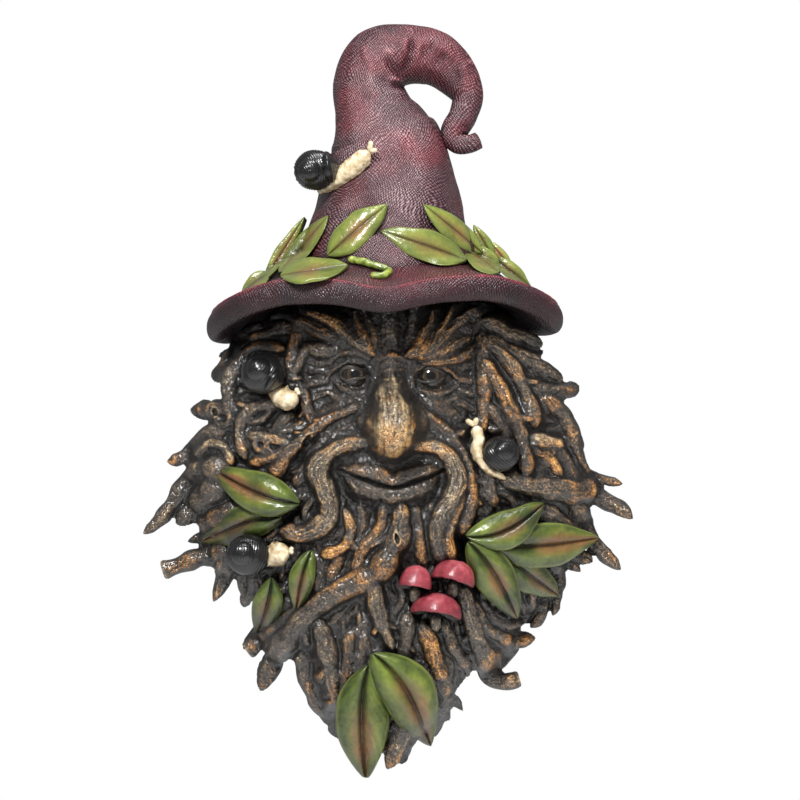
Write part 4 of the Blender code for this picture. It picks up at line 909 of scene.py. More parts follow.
def thin_routes(count, seed, shortest, longest, thin, thick):
    """Routes of the thinner roots: each starts outside the face and wanders along the flow."""
    chance = random.Random(seed)
    routes = []
    while len(routes) < count:
        z = chance.uniform(-190.0, 6.0)
        x = float(middle_x(z)) + chance.uniform(-0.85, 0.85) * float(half_width(z))
        length = chance.uniform(shortest, longest)
        thickness = chance.uniform(thin, thick)
        bend = chance.uniform(-1.0, 1.0)
        phase = chance.uniform(0.0, 2.0 * math.pi)
        if ((x - FACE_MIDDLE[0]) / FACE_HALF[0]) ** 2 + ((z - FACE_MIDDLE[1]) / FACE_HALF[1]) ** 2 < 1.0:
            continue
        spot = Vector((x, z))
        route = [tuple(spot)]
        for step in range(int(length / ROUTE_STEP)):
            along = flow(*spot)
            across = Vector((-along.y, along.x))
            heading = along + across * (0.5 * bend + 0.55 * math.sin(phase + 0.8 * step))
            spot = spot + heading.normalized() * ROUTE_STEP
            aside = abs(spot.x - float(middle_x(spot.y)))
            if aside > float(half_width(spot.y)) * 0.93 or spot.y < -200.0:
                break
            route.append(tuple(spot))
        if len(route) > 4:
            routes.append((np.array(route), thickness))
    return routes


def thin_root_grids():
    grids = []
    for seed, (route, thickness) in enumerate(thin_routes(*UNDER_ROOTS), THIN_SEED):
        share = np.linspace(0.0, 1.0, 4 * len(route))
        xz = spline(route, share)
        if core_inside(xz[:, 0], xz[:, 1]).min() > 0.3:
            continue
        radius = thickness * (1.0 - 0.35 * share)
        grids.append(bark_root(laid(xz, THIN_SINK), radius, seed, 12, 1.9, 0.6, sunk=0.3))
    return grids


def core_grid():
    """The mass behind the roots."""
    up = np.sin(np.linspace(-0.5 * math.pi, 0.5 * math.pi, 80))[:, None]
    turn = np.linspace(-0.5 * math.pi, 0.5 * math.pi, 90)[None, :]
    reach = np.where(up > 0, TOP_OF_CORE_Z - WIDEST_Z, WIDEST_Z - BOTTOM_Z - CORE_FOOT)
    z = WIDEST_Z + up * reach
    ring = np.maximum(np.sqrt(np.maximum(1.0 - up * up, 0.0)), 0.02)
    pinch = np.minimum(ring * 2.5, 1.0)
    x = middle_x(z) + np.sin(turn) * half_width(z) * CORE_WIDTH_SHARE * pinch
    depth = np.cos(turn) * (middle_depth(z) - CORE_INSET - 1.5) * pinch
    points = stack(x, np.maximum(depth, 0.3), z + 0.0 * turn)
    return Grid(points, True, 0.10 + 0.08 * noise(points * 0.6, 4))


def back_plate():
    """The flat back between the mass and the hat, with the screw recess sunk in it."""
    turn = np.linspace(0.0, 2.0 * math.pi, 72, endpoint=False)[None, :]
    out_x = np.cos(turn) * PLATE_REACH[0]
    out_z = np.sin(turn) * PLATE_REACH[1]
    rows = []
    for share, depth in ((0.05, RECESS_DEEP), (1.0, RECESS_DEEP), (1.0, RECESS_DEEP - 0.3), (1.0, 0.4), (1.06, 0.0)):
        ring = RECESS_RADIUS * share
        rows.append(stack(ring * np.cos(turn), depth, RECESS_Z + ring * np.sin(turn)))
    for share, depth in ((0.35, 0.0), (0.7, 0.0), (1.0, 0.0), (1.0, 0.8), (1.0, RECESS_DEEP + 3.0)):
        x = RECESS_RADIUS * np.cos(turn) * (1.0 - share) + out_x * share
        z = RECESS_Z + RECESS_RADIUS * np.sin(turn) * (1.0 - share) + out_z * share
        rows.append(stack(x, depth, z))
    points = np.concatenate(rows)
    return Grid(points, True, 0.10 + 0.08 * noise(points * 0.6, 5))


def behind_recess(points):
    """True where a point of the flat back lies over the recess."""
    return (np.hypot(points[..., 0], points[..., 2] - RECESS_Z) < RECESS_RADIUS + 3.0) & (points[..., 1] < 12.0)


# The front of the roots and the face, as one relief

FORM_LOOKS = {
    "deep": 1.0,  # height of the section in radii
    "wall": 3.0,  # slope beside the form
    "bell": 0.0,  # height of a bell-shaped section, in place of a round one
    "blend": 2.0,  # width of the fillet where it meets the rest
    "warp": 0.0,  # how far it follows the wandering of the ground
    "lines": 3.0,  # carved lines across it
    "amount": 0.4,  # their depth
    "sway": 0.6,  # their wandering
    "streaks": 0.06,  # how much they show in the paint
    "lighter": 0.0,
    "glow": 0.0,  # warmth of the paint
    "fade": 0.0,  # how much darker the tip is
    "tip_glow": 0.0,  # how much warmer the tip is
}


class Form:
    """A raised form of the relief: its line in layout points, its radii, and how it is carved and painted."""

    def __init__(self, line, radius, seed, **looks):
        self.x, self.depth, self.z = line.T
        self.radius = radius
        self.seed = seed
        for key, default in FORM_LOOKS.items():
            setattr(self, key, looks.get(key, default))
        steps = np.stack([np.gradient(self.x), np.gradient(self.z)], axis=1)
        sizes = np.maximum(np.hypot(*steps.T), 1e-6)
        self.ahead = steps / sizes[:, None]
        self.run = np.concatenate([[0.0], np.cumsum(np.hypot(np.diff(self.x), np.diff(self.z)))])


def root_forms():
    """The roots, from the thin ones underneath to the long ones on top."""
    forms = []
    chance = random.Random(5)
    thin = [(*values, THIN_SINK) for values in thin_routes(*THIN_ROOTS)]
    thin += [(*values, HAIR_SINK) for values in thin_routes(*HAIR_ROOTS)]
    for seed, (route, thickness, sink) in enumerate(thin, THIN_SEED):
        share = np.linspace(0.0, 1.0, 4 * len(route))
        radii = thickness * (1.0 - 0.45 * share)
        path, radius, _ = root_line(laid(spline(route, share), sink), radii, seed, 0.9)
        looks = {"lines": thickness * 0.8, "amount": 0.3, "lighter": chance.uniform(-0.12, 0.03)}
        forms.append(Form(path, radius, seed, blend=2.4, glow=chance.uniform(-0.5, 0.4), warp=0.4, **looks))
    for seed, (name, (start, end, bow, sway, radii, lift)) in enumerate(ROOTS.items()):
        share = np.linspace(0.0, 1.0, 24)
        xz = bowed(start, end, bow, sway, share)
        cut = name in SAWN_ROOTS
        path, radius, s = root_line(laid(xz, lift), between(radii, share), seed, 0.8, cut)
        kept = s < s[-1] - (0.7 * radii[1] if cut else -1.0)
        looks = {"lines": radii[0], "amount": 0.36, "lighter": chance.uniform(-0.07, 0.07), "tip_glow": 0.5}
        forms.append(Form(path[kept], radius[kept], seed, blend=2.0, glow=chance.uniform(-0.3, 0.5), **looks))
        forms += spurs(path[kept], radius[kept], chance, looks)
    for seed, (centre, ring, wood) in enumerate(KNOTS):
        turn = np.linspace(0.0, 2.0 * math.pi, 26)
        xz = np.stack([centre[0] + ring * np.cos(turn), centre[1] + ring * np.sin(turn)], axis=1)
        forms.append(Form(laid(xz, 3.0), np.full(26, wood), 220 + seed, lines=1.0, glow=0.4, blend=1.0))
    return forms


def spurs(path, radius, chance, looks):
    """Short side branches along a root, inside the outline."""
    forms = []
    for k in range(int(len(path) * 0.8 / 17.0)):
        at = int(len(path) * chance.uniform(0.3, 0.85))
        run = path[min(at + 2, len(path) - 1)] - path[max(at - 2, 0)]
        heading = math.atan2(run[2], run[0])
        heading += chance.choice((-1.0, 1.0)) * math.radians(chance.uniform(35.0, 70.0))
        length = chance.uniform(1.6, 2.6) * radius[at]
        share = np.linspace(0.0, 1.0, 9)[:, None]
        tip = np.array((math.cos(heading), -0.15, math.sin(heading))) * length
        line = path[at] + tip * share
        if core_inside(line[-1, 0], line[-1, 2]) < 0.15:
            continue
        forms.append(Form(line, radius[at] * (0.62 - 0.3 * share[:, 0]), 500 + k, blend=2.0, **looks))
    return forms


def face_forms():
    forms = []
    for key, (route, radii, depths, deep, lines, amount, lighter, glow) in FACE_FORMS.items():
        share = np.linspace(0.0, 1.0, 26)
        xz = spline(route, share)
        radius = spline([(r,) for r in radii], share)[:, 0]
        depth = spline([(d,) for d in depths], share)[:, 0]
        seed = sum(ord(c) for c in key)
        looks = {"deep": deep, "lines": lines, "amount": amount, "lighter": lighter, "glow": glow}
        looks["blend"] = 2.6 if "brow" in key or "lip" in key else 3.4
        if key == "nose":
            looks.update(NOSE_LOOKS)
        forms.append(Form(np.insert(xz, 1, depth, axis=1), radius, seed, wall=1.5, warp=1.0, **looks))
    return forms


def moustache_forms():
    forms = []
    for seed, (route, radii, lift) in enumerate(MOUSTACHES.values()):
        share = np.linspace(0.0, 1.0, 60)
        xz = spline(route, share)
        radius = between(radii, smooth_share(share * 3.0))
        points = np.insert(xz, 1, dome(xz[:, 0], xz[:, 1]) + lift * (1.0 - 0.4 * share), axis=1)
        path, radius, _ = root_line(points, radius, 200 + seed, 0.7)
        forms.append(Form(path, radius, 200 + seed, blend=1.6, warp=0.4, **MOUSTACHE_LOOKS))
    return forms


def raise_form(fields, columns, rows, form):
    """Blends one form into the depth, shade, warmth and cover of the relief."""
    reach = form.radius * (1.7 if form.bell else 1.0) + max(3.0, 7.0 / form.wall)
    left, right = np.searchsorted(columns, form.x - reach), np.searchsorted(columns, form.x + reach)
    top, low = np.searchsorted(-rows, -form.z - reach), np.searchsorted(-rows, -form.z + reach)
    row, column = top.min(), left.min()
    area = (slice(row, low.max()), slice(column, right.max()))
    x, z = fields["x"][area], fields["z"][area]
    if x.size == 0:
        return
    px = x + form.warp * (fields["warp_x"][area] - x)
    pz = z + form.warp * (fields["warp_z"][area] - z)
    height, run = np.full(x.shape, -1e3), np.zeros(x.shape)
    across, out = np.full(x.shape, 9.0), np.full(x.shape, 2.0)
    for k, radius in enumerate(form.radius):
        spot = (slice(top[k] - row, low[k] - row), slice(left[k] - column, right[k] - column))
        dx, dz = px[spot] - form.x[k], pz[spot] - form.z[k]
        distance = np.hypot(dx, dz)
        section = form.deep * np.sqrt(np.maximum(1.0 - (distance / radius) ** 2, 0.0)) - (form.deep - 1.0)
        level = form.depth[k] + radius * section - form.wall * np.maximum(distance - radius, 0.0)
        if form.bell:
            level = form.depth[k] + radius - form.bell * (1.0 - np.exp(-((0.92 * distance / radius) ** 4)))
        better = level > height[spot]
        ahead, aside = form.ahead[k]
        height[spot] = np.where(better, level, height[spot])
        run[spot] = np.where(better, form.run[k] + dx * ahead + dz * aside, run[spot])
        across[spot] = np.where(better, (dz * ahead - dx * aside) / radius, across[spot])
        out[spot] = np.where(better, distance / radius, out[spot])
        cover = fields["cover"][area][spot]
        np.maximum(cover, radius - distance, out=cover)
    own = form.seed + 0.0 * px
    side = across + form.sway * noise(stack(run * 0.12, across * 0.8, own), 7)
    streak = noise(stack(side * form.lines * 0.7, run * 0.06, own), 8)
    fine = noise(stack(side * form.lines * 1.7, run * 0.16, own), 9)
    lumps = noise(stack(across * 0.8, run * 0.14, own + 0.5), 10)
    carved = 0.6 * (1.0 - 2.4 * np.abs(streak)) + 0.5 * (1.0 - 2.2 * np.abs(fine)) - 0.45
    height = height + form.amount * np.maximum(carved, -1.6) + 0.5 * lumps * (form.deep == 1.0)
    depth, shade, warm = fields["depth"], fields["shade"], fields["warm"]
    over = np.clip(0.5 + 0.5 * (height - depth[area]) / form.blend, 0.0, 1.0)
    depth[area] = soft_max(depth[area], height, form.blend)
    # The crest of a form is painted lighter and its flanks darker: dry-brushed paint on the crest, painted shade on
    # the flanks
    crest = np.clip(1.0 - out ** 2, -0.8, 1.0)
    tipward = smooth_share(2.2 * run / form.run[-1] - 1.2)
    own_shade = form.lighter - form.fade * tipward + 0.16 * (crest - 0.6) + form.streaks * carved + 0.06 * lumps
    shade[area] += (own_shade - shade[area]) * over
    warm[area] += (form.glow + form.tip_glow * tipward + 0.5 * lumps - warm[area]) * over


def relief(columns, rows, forms):
    """The front as one fused relief over a grid of x and z: the mass, the face's mask, and every form."""
    x, z = np.meshgrid(columns, rows)
    flat = 0.0 * x
    pitch = columns[1] - columns[0]
    wander = [
        1.0 * noise(stack(x * 0.13, z * 0.13, flat + 5.0 * k), 61 + k)
        + 0.35 * noise(stack(x * 0.5, z * 0.5, flat + k), 65) for k in (0, 1)
    ]
    inside = core_inside(x, z)
    core_depth = (middle_depth(z) - CORE_INSET) * np.sqrt(np.maximum(inside, 0.0))
    mask = 1.0 - ((x - FACE_MIDDLE[0]) / FACE_HALF[0]) ** 2 - ((z - FACE_MIDDLE[1]) / FACE_HALF[1]) ** 2
    depth = soft_max(np.where(mask > 0.0, 21.0 + 42.0 * np.sqrt(np.maximum(mask, 0.0)), 0.0), core_depth, 3.0)
    depth += 0.9 * (1.0 - 2.2 * np.abs(noise(stack((x + wander[0]) * 0.16, (z + wander[1]) * 0.1, flat), 63)))
    for ex, ez in EYES:
        away = ((x - ex) / SOCKET[0]) ** 2 + ((z - ez) / SOCKET[1]) ** 2
        depth -= SOCKET_DEPTH * np.exp(-(away ** 1.5))
    fields = {"x": x, "z": z, "warp_x": x + wander[0], "warp_z": z + wander[1], "depth": depth}
    fields.update({"shade": flat - 0.08, "warm": flat + 0.0, "cover": np.where(inside > 0.03, 1.0, -9.0)})
    for form in forms:
        raise_form(fields, columns, rows, form)
    kept = fields["cover"] > 0.3
    kept = kept | (blur(kept.astype(float), WEB_REACH / pitch) > WEB_SHARE)
    depth = np.where(fields["cover"] > 0.0, depth, 0.0)
    solid = (fields["cover"] > 0.0).astype(float)

    def level(reach):
        return blur(depth * solid, reach / pitch) / np.maximum(blur(solid, reach / pitch), 0.05)

    hollow = GAP_DEPTH + (FACE_GAP_DEPTH - GAP_DEPTH) * smooth_share(3.0 * mask)
    depth = soft_max(depth, level(2.6) - hollow, 1.5)
    # Each hole is sunk and painted darker inside, as painted shade, with a lighter ring on its raised lip
    for px, pz, across, tall, turn in PITS:
        dx, dz = x - px, z - pz
        side = (dx * math.cos(turn) + dz * math.sin(turn)) / across
        length = (dz * math.cos(turn) - dx * math.sin(turn)) / tall
        ring = np.hypot(side, length)
        depth -= 3.0 * np.exp(-(ring ** 4)) - 0.8 * np.exp(-(((ring - 1.6) / 0.4) ** 2))
        fields["shade"] += 0.10 * np.exp(-(((ring - 1.6) / 0.4) ** 2)) - 0.35 * np.exp(-(ring ** 4))
    half, up, down = EYE_OPENING
    for ex, ez in EYES:
        bow = np.sqrt(np.clip(1.0 - ((x - ex) / half) ** 2, 0.0, 1.0))
        opened = (z - ez < up * bow) & (z - ez > -down * bow)
        depth[opened] = EYE_DEPTH - 1.0
    # The slit between the lips is carved and painted darker along it, as painted shade
    for px, pz in spline(MOUTH_LINE, np.linspace(0.0, 1.0, 60)):
        near = np.exp(-(((x - px) / 0.9) ** 2 + ((z - pz) / 0.7) ** 2))
        depth -= np.minimum(2.4 * near, 0.9)
        fields["shade"] -= 0.10 * near
    grain = noise(stack(x * 1.0, z * 1.0, flat), 71)
    lump = noise(stack(x * 0.42, z * 0.42, flat), 75)
    depth += 0.26 * grain + 0.22 * noise(stack(x * 1.9, z * 1.9, flat), 72) + 0.40 * lump
    # The tone follows the relief: high points lighter, as the dry-brushed paint, and hollows darker, partly dark
    # wash and partly painted shade
    rise = np.clip((depth - level(0.8)) / 0.34, -1.3, 1.6)
    swell = np.clip((depth - level(2.4)) / 2.4, -1.2, 0.8)
    soft = 1.0 - 0.45 * smooth_share(3.0 * mask)
    tone = 0.29 + soft * (0.10 * rise + 0.10 * swell) + fields["shade"] + 0.06 * grain
    patch = noise(stack(x * 0.05, z * 0.05, flat), 73) + 0.5 * noise(stack(x * 0.15, z * 0.15, flat), 74)
    glow = np.clip(fields["warm"] + 0.5 * patch + 0.15 * rise - 0.1, 0.0, 1.0)
    return Grid(stack(x, depth, z), False, tone + 0.06 * patch, glow, keep=kept)


def face_grid(forms):
    """The middle of the relief, at the finer pitch of the face."""
    half, top, foot = FACE_WINDOW
    beyond = FACE_MARGIN * FACE_PITCH
    columns = np.arange(-half - beyond, half + beyond, FACE_PITCH)
    rows = np.arange(top + beyond, foot - beyond, -FACE_PITCH)
    whole = relief(columns, rows, forms)
    inner = (slice(FACE_MARGIN, -FACE_MARGIN), slice(FACE_MARGIN, -FACE_MARGIN))
    return Grid(whole.points[inner], False, whole.tone[inner], whole.warm[inner], keep=whole.keep[inner])


def root_relief(forms):
    """The rest of the relief, left and right of the middle line, with the face's window left out."""
    columns = np.arange(*RELIEF_X, RELIEF_PITCH)
    rows = np.arange(*RELIEF_Z, -RELIEF_PITCH)
    whole = relief(columns, rows, forms)
    x, z = whole.points[..., 0], whole.points[..., 2]
    half, top, foot = FACE_WINDOW
    window = (np.abs(x) < half - WINDOW_OVERLAP) & (z < top - WINDOW_OVERLAP) & (z > foot + WINDOW_OVERLAP)
    keep = whole.keep & ~window
    split = np.searchsorted(columns, SPLIT_X)
    halves = []
    for side in (slice(0, split + 1), slice(split, None)):
        part = (slice(None), side)
        halves.append(Grid(whole.points[part], False, whole.tone[part], whole.warm[part], keep=keep[part]))
    return halves


def eye_grids():
    """The eyeballs, and the rims of the lids round them."""
    balls, lids = [], []
    half, up, down = EYE_OPENING
    for seed, (ex, ez) in enumerate(EYES):
        tilt = np.linspace(0.0, 0.5 * math.pi, 46)[:, None]
        turn = np.linspace(0.0, 2.0 * math.pi, 64, endpoint=False)[None, :]
        dx = EYE_RADIUS * np.sin(tilt) * np.cos(turn)
        dz = EYE_RADIUS * np.sin(tilt) * np.sin(turn)
        ball = stack(ex + dx, EYE_DEPTH + EYE_RADIUS * np.cos(tilt), ez + dz)
        balls.append(Grid(ball, True, 0.5, 0.0, np.hypot(dx - 0.3, dz) / 10.0))
        share = np.linspace(0.0, 1.0, 40)
        for sign, rise, thick in ((1.0, up, 1.15), (-1.0, down, 0.85)):
            lx = (half + 0.7) * (2.0 * share - 1.0)
            lz = sign * (rise + 0.4) * np.sqrt(np.clip(1.0 - (lx / (half + 0.7)) ** 2, 0.0, 1.0))
            ly = EYE_DEPTH + np.sqrt(np.maximum(EYE_RADIUS ** 2 - lx ** 2 - lz ** 2, 4.0)) + 0.1
            radius = thick * (0.55 + 0.45 * np.sin(math.pi * share))
            points = np.stack([ex + lx, ly, ez + lz], axis=1)
            lids.append(bark_root(points, radius, 240 + 2 * seed + int(sign > 0), 22, 0.35, 0.5, pale=-0.10))
    return balls, lids


# The hat


def hat_relief(points):
    """Folds of the cloth: creases and ridges drawn as short lines on the front."""
    x, z = points[..., 0], points[..., 2]
    total = np.zeros(x.shape)
    for (x0, z0), (x1, z1), amount, width in HAT_FOLDS:
        run = np.array((x1 - x0, z1 - z0))
        share = np.clip(((x - x0) * run[0] + (z - z0) * run[1]) / (run @ run), -0.2, 1.2)
        distance = np.hypot(x - x0 - run[0] * share, z - z0 - run[1] * share)
        ends = 1.0 - smooth_share(np.abs(2.0 * share - 1.0) / 1.4) ** 2
        total += amount * ends * np.exp(-((distance / width) ** 2))
    return total


def hat_grid():
    share = np.concatenate([np.linspace(0.0, 0.5, 88), np.linspace(0.5, 1.0, HAT_COLUMNS)[1:]])
    line = spline(HAT_LINE, share)
    path = np.stack([line[:, 0], line[:, 2], line[:, 1]], axis=1)
    radius = line[:, 3] * np.sqrt(np.clip((1.0 - share) / 0.012 + 0.03, 0.03, 1.0))
    along, forward, side = frames(path)
    u = angles(HAT_COLUMNS)
    ring = rings(u, forward, side)
    base = path[:, None, :] + ring * radius[:, None, None]
    s = path_lengths(path)
    folds = hat_relief(base) * np.clip(np.cos(u)[None, :], 0.0, 1.0)
    drape = noise(stack(np.cos(u)[None, :] * 2.2, np.sin(u)[None, :] * 2.2, s[:, None] * 0.02), 81)
    soft = noise(base * 0.06, 82) + 0.35 * noise(base * 0.16, 85)
    r = radius[:, None] + (folds + 0.9 * drape + 0.8 * soft) * np.clip(radius / 14.0, 0.2, 1.0)[:, None]
    points = path[:, None, :] + ring * r[..., None]
    points[..., 1] = np.maximum(points[..., 1], 0.3)
    # Painted light and shade: the front of the crown is lighter and its sides darker, the creases of its folds
    # darker and their ridges lighter
    front_light = np.clip(np.cos(u), 0.0, 1.0)[None, :]
    tone = 0.25 + 0.13 * np.clip(folds, -2.0, 1.6) + 0.08 * soft + 0.20 * (front_light - 0.5)
    warm = 0.7 * noise(points * 0.045, 83) + 0.35 * noise(points * 0.13, 84) + 0.12 * np.clip(folds, 0.0, 2.0)
    return Grid(points, True, tone, warm, ends=False, keep=~behind_recess(points))


def brim_edge(angle):
    degrees = np.minimum(np.abs(np.degrees(angle)), 90.0)
    dip = 5.0 * np.exp(-((degrees / 13.0) ** 2))
    drop = 17.0 * (np.maximum(degrees - 34.0, 0.0) / 56.0) ** 1.2
    return BRIM_EDGE_Z - dip - drop + BRIM_TILT * np.sin(angle)


def brim_grid():
    angle = np.linspace(-0.72 * math.pi, 0.72 * math.pi, 400)
    share = np.linspace(0.0, 1.0, 84, endpoint=False)
    section = spline([*BRIM_SECTION, BRIM_SECTION[0]], share)
    out, height = section[None, :, 0], section[None, :, 1]
    a = angle[:, None]
    edge = smooth_share((out - 0.4) / 0.6)
    top = np.clip(height / 2.0 + 0.6, 0.0, 1.0)
    wave = 1.0 * noise(stack(np.sin(a) * 3.0, np.cos(a) * 3.0, out * 1.5), 91) * edge
    wander = 0.008 * noise(stack(np.sin(a) * 9.0, np.cos(a) * 9.0, 0.0 * a), 94)
    rim = np.exp(-(((share - RIM_AT) / 0.014) ** 2))[None, :]
    piping = (0.9 + 0.3 * noise(stack(np.sin(a) * 20.0, np.cos(a) * 20.0, 0.0 * a), 92)) * rim
    piping = piping - 0.6 * np.exp(-(((share - RIM_AT + 0.04) / 0.018) ** 2))[None, :]
    z = BRIM_ROOT_Z + (brim_edge(a) - BRIM_ROOT_Z) * edge + height + wave + 0.4 * rim
    x = BRIM_CENTRE[0] + (BRIM_HALF_WIDTH * out + piping) * np.sin(a)
    depth = BRIM_CENTRE[1] + (BRIM_FORWARD * out + piping) * np.cos(a)
    points = stack(x, depth, z)
    warm = 0.18 + 0.55 * noise(points * 0.05, 93) + 0.3 * noise(points * 0.14, 95)
    mark = np.exp(-(((share - RIM_AT) / 0.018 + wander / 0.02) ** 2)) * (0.6 + 0.7 * noise(points * 0.16, 96))
    # Painted light and shade: the top of the brim is lighter and the lower band of its lip darker; raised waves and
    # the piping are a little lighter
    low = np.clip((-height - 2.0) / 8.0, 0.0, 1.0)
    tone = 0.06 + 0.10 * wave + 0.18 * top - 0.26 * low + 0.10 * rim
    return Grid(points, True, tone, warm, mark)


# Leaves


def leaf_shape(along):
    return np.maximum(np.sin(math.pi * along ** 0.85), 0.0) ** 0.75


def leaf_grid(base, tip, width, depth_at, seed, bow=0.0, thickness=3.2, curl=2.0, shadow_skirt=0.0, tan=0.0):
    """A leaf of two pillowed halves with a sunk midrib, closed over its edge by a plain underside; a skirt widens
    that underside down and to the right, painted dark as its side wall and a painted shadow.
    """
    along = np.concatenate([np.linspace(0.0, 0.06, 4)[:-1], np.linspace(0.06, 1.0, 48)])[:, None]
    top = np.linspace(-1.0, 1.0, 33)
    under = np.linspace(1.0, -1.0, 8)[1:-1]
    across = np.concatenate([top, under])[None, :]
    upper = np.concatenate([np.ones(len(top)), np.zeros(len(under))])[None, :]
    base, tip = np.array(base, float), np.array(tip, float)
    run = tip - base
    length = np.hypot(*run)
    left = np.array((-run[1], run[0])) / length
    lean = random.Random(seed).choice((-1.0, 1.0))
    shape = np.maximum(leaf_shape(along), 0.07 * (1.0 - along) + 0.015)
    aside = np.abs(across)
    wave = 1.0 + 0.09 * noise(stack(along * 4.5, np.sign(across) * 2.0 + 0.0 * along, seed + 0.0 * along), 12)
    spread = across * (0.5 * width * shape * wave + shadow_skirt * (1.0 - upper))
    spread = spread + bow * length * np.sin(math.pi * along ** 0.8)
    x = base[0] + run[0] * along + left[0] * spread
    z = base[1] + run[1] * along + left[1] * spread
    scale = width / 22.0
    rib = np.exp(-((across / (0.045 + 0.05 * (1.0 - along))) ** 2)) * np.clip((1.0 - along) * 5.0, 0.0, 1.0)
    veins = noise(stack(along * 12.0 - aside * 5.0, np.sign(across) + 0.0 * along, seed + 0.0 * along), 13)
    veins = (1.0 - 2.2 * np.abs(veins)) * np.clip(aside * 3.0, 0.0, 1.0)
    pillow = np.sin(math.pi * np.minimum(aside, 1.0) ** 0.72) ** 0.8 * np.sqrt(shape)
    ruffle = 0.7 * noise(stack(along * 3.0, across * 0.8, seed + 0.0 * along), 15)
    fold = lean * 1.2 * across * shape
    veins = veins * (1.0 - 0.7 * tan)
    lift = scale * ((3.9 - 2.2 * tan) * pillow + fold + ruffle) - 0.4 * rib + 0.12 * veins
    skin = lift * upper - (1.0 - upper) * (thickness - 0.4 * np.abs(fold))
    arch = curl * np.sin(math.pi * along) - 0.5 * curl * along ** 3
    rounded = np.sqrt(np.clip(1.0 - aside ** 8, 0.0, 1.0)) - 1.0
    depth = depth_at(x, z) + arch + skin + rounded * 0.8 * upper
    points = stack(x + 0.5 * shadow_skirt * (1.0 - upper), depth, z - 0.9 * shadow_skirt * (1.0 - upper))
    patches = noise(points * 0.12, seed + 14)
    # Painted light and shade: the pillowed halves lighter where they rise, and a broad painted shade along the
    # midrib's valley
    valley_shade = np.exp(-((aside / 0.26) ** 2))
    tone = 0.30 + 0.05 * veins - 0.08 * rib + 0.14 * patches + 0.24 * (pillow - 0.6) - 0.10 * valley_shade
    tone = tone + tan * (0.14 + 0.06 * valley_shade)
    # The underside is painted dark; where the skirt pushes it out down and to the right it shows as the leaf's side
    # wall and a painted shadow beside it
    tone = np.where(upper > 0.5, tone, -0.15)
    edge = np.clip((aside - 0.86) / 0.14, 0.3 * tan, 1.0) * upper
    tipward = smooth_share((along - 0.2) / 0.45) * np.exp(-((aside / 0.42) ** 2))
    middle = tan * np.exp(-(((along - 0.5) / 0.3) ** 2) - (aside / 0.6) ** 2)
    brown = (0.35 + 0.3 * tan) * rib + (1.9 * tipward * (1.0 - tan) + middle) * (0.8 + 1.0 * patches) + (1.0 - upper)
    return Grid(points, True, tone, np.clip(brown, 0.0, 1.0), edge + 0.0 * x)


def root_leaf_grids():
    grids = []
    for seed, (base, tip, width, lift, bow) in enumerate(ROOT_LEAVES):
        ends = [dome_at(base) + lift, dome_at(tip) + lift]
        run = np.array(tip, float) - np.array(base, float)

        def depth_at(x, z, base=base, run=run, ends=ends, lift=lift):
            share = ((x - base[0]) * run[0] + (z - base[1]) * run[1]) / (run @ run)
            share = np.clip(share, 0.0, 1.0)
            straight = between(ends, share) + 2.0 * np.sin(math.pi * share)
            return soft_max(straight, dome(x, z) + lift - 1.0, 4.0)

        grids.append(leaf_grid(base, tip, width, depth_at, seed, bow=bow, thickness=2.2))
    return grids


def hat_leaf_grids():
    grids = []
    for seed, (base, tip, width, lift) in enumerate(HAT_LEAVES):
        mid = 0.5 * (np.array(base, float) + np.array(tip, float))
        middle = float(hat_surface(np.float64(mid[0]), np.float64(mid[1])))

        def depth_at(x, z, middle=middle, lift=lift):
            return np.maximum(hat_surface(x, z), 0.7 * hat_surface(x, z) + 0.3 * middle) + lift

        grids.append(leaf_grid(base, tip, width, depth_at, 50 + seed, thickness=5.5, curl=0.8, shadow_skirt=1.1, tan=1.0))
    return grids


# Snails and mushrooms


def shell_grid(centre, depth, radius, thickness, mouth, seed):
    """A domed shell, ribbed across the way its mouth points, with a smaller whorl on it."""
    grids = []
    mx, mz = math.cos(mouth), math.sin(mouth)
    for share, back, forward, rows, columns in ((1.0, 0.0, 0.0, 72, 110), (0.6, 0.22, 0.62, 36, 70)):
        tilt = np.linspace(0.0, 0.8 * math.pi, rows)[:, None]
        turn = np.linspace(0.0, 2.0 * math.pi, columns, endpoint=False)[None, :]
        side_x, side_z = np.sin(tilt) * np.cos(turn), np.sin(tilt) * np.sin(turn)
        level = side_x * mx + side_z * mz
        crossing = side_z * mx - side_x * mz
        waver = noise(stack(level * 3.0, crossing * 3.0, seed + 0.0 * level), 15)
        ribs = np.cos(radius * share * (5.2 * level + 1.3 * crossing ** 2) + 1.4 * waver) + 0.8 * waver
        size = radius * share * (1.0 + 0.022 * ribs)
        x = centre[0] - radius * back * mx + size * side_x
        z = centre[1] - radius * back * mz + size * side_z * 0.95
        y = depth + thickness * forward + size / radius * thickness * np.cos(tilt)
        grids.append(Grid(stack(x, y, z), True, 0.30 + 0.10 * ribs))
    return grids


def body_depth(x, z, on_hat):
    """Depth of what a snail crawls on."""
    return hat_surface(x, z) if on_hat else dome(x, z) + 4.0


def ribbed_tube(points, radii, seed):
    """The last turn of a shell: a fat tube with round ends, ribbed across."""
    path, radius, s = resample(points, radii, 0.35)
    _, forward, side = frames(path)
    radius = radius * np.sqrt(np.clip((s[-1] - s) / (0.7 * radius[-1]) + 0.05, 0.05, 1.0))
    radius = radius * np.sqrt(np.clip(s / (0.5 * radius[0]) + 0.05, 0.05, 1.0))
    u = angles(52)
    waver = noise(stack(s[:, None] * 0.3, u[None, :] * 0.9, seed + 0.0 * u[None, :]), 19)
    ribs = np.cos(s[:, None] * 5.2 + 1.4 * waver) + 0.8 * waver
    rows = path[:, None, :] + rings(u, forward, side) * (radius[:, None] + 0.10 * ribs)[..., None]
    return Grid(rows, True, 0.30 + 0.10 * ribs)


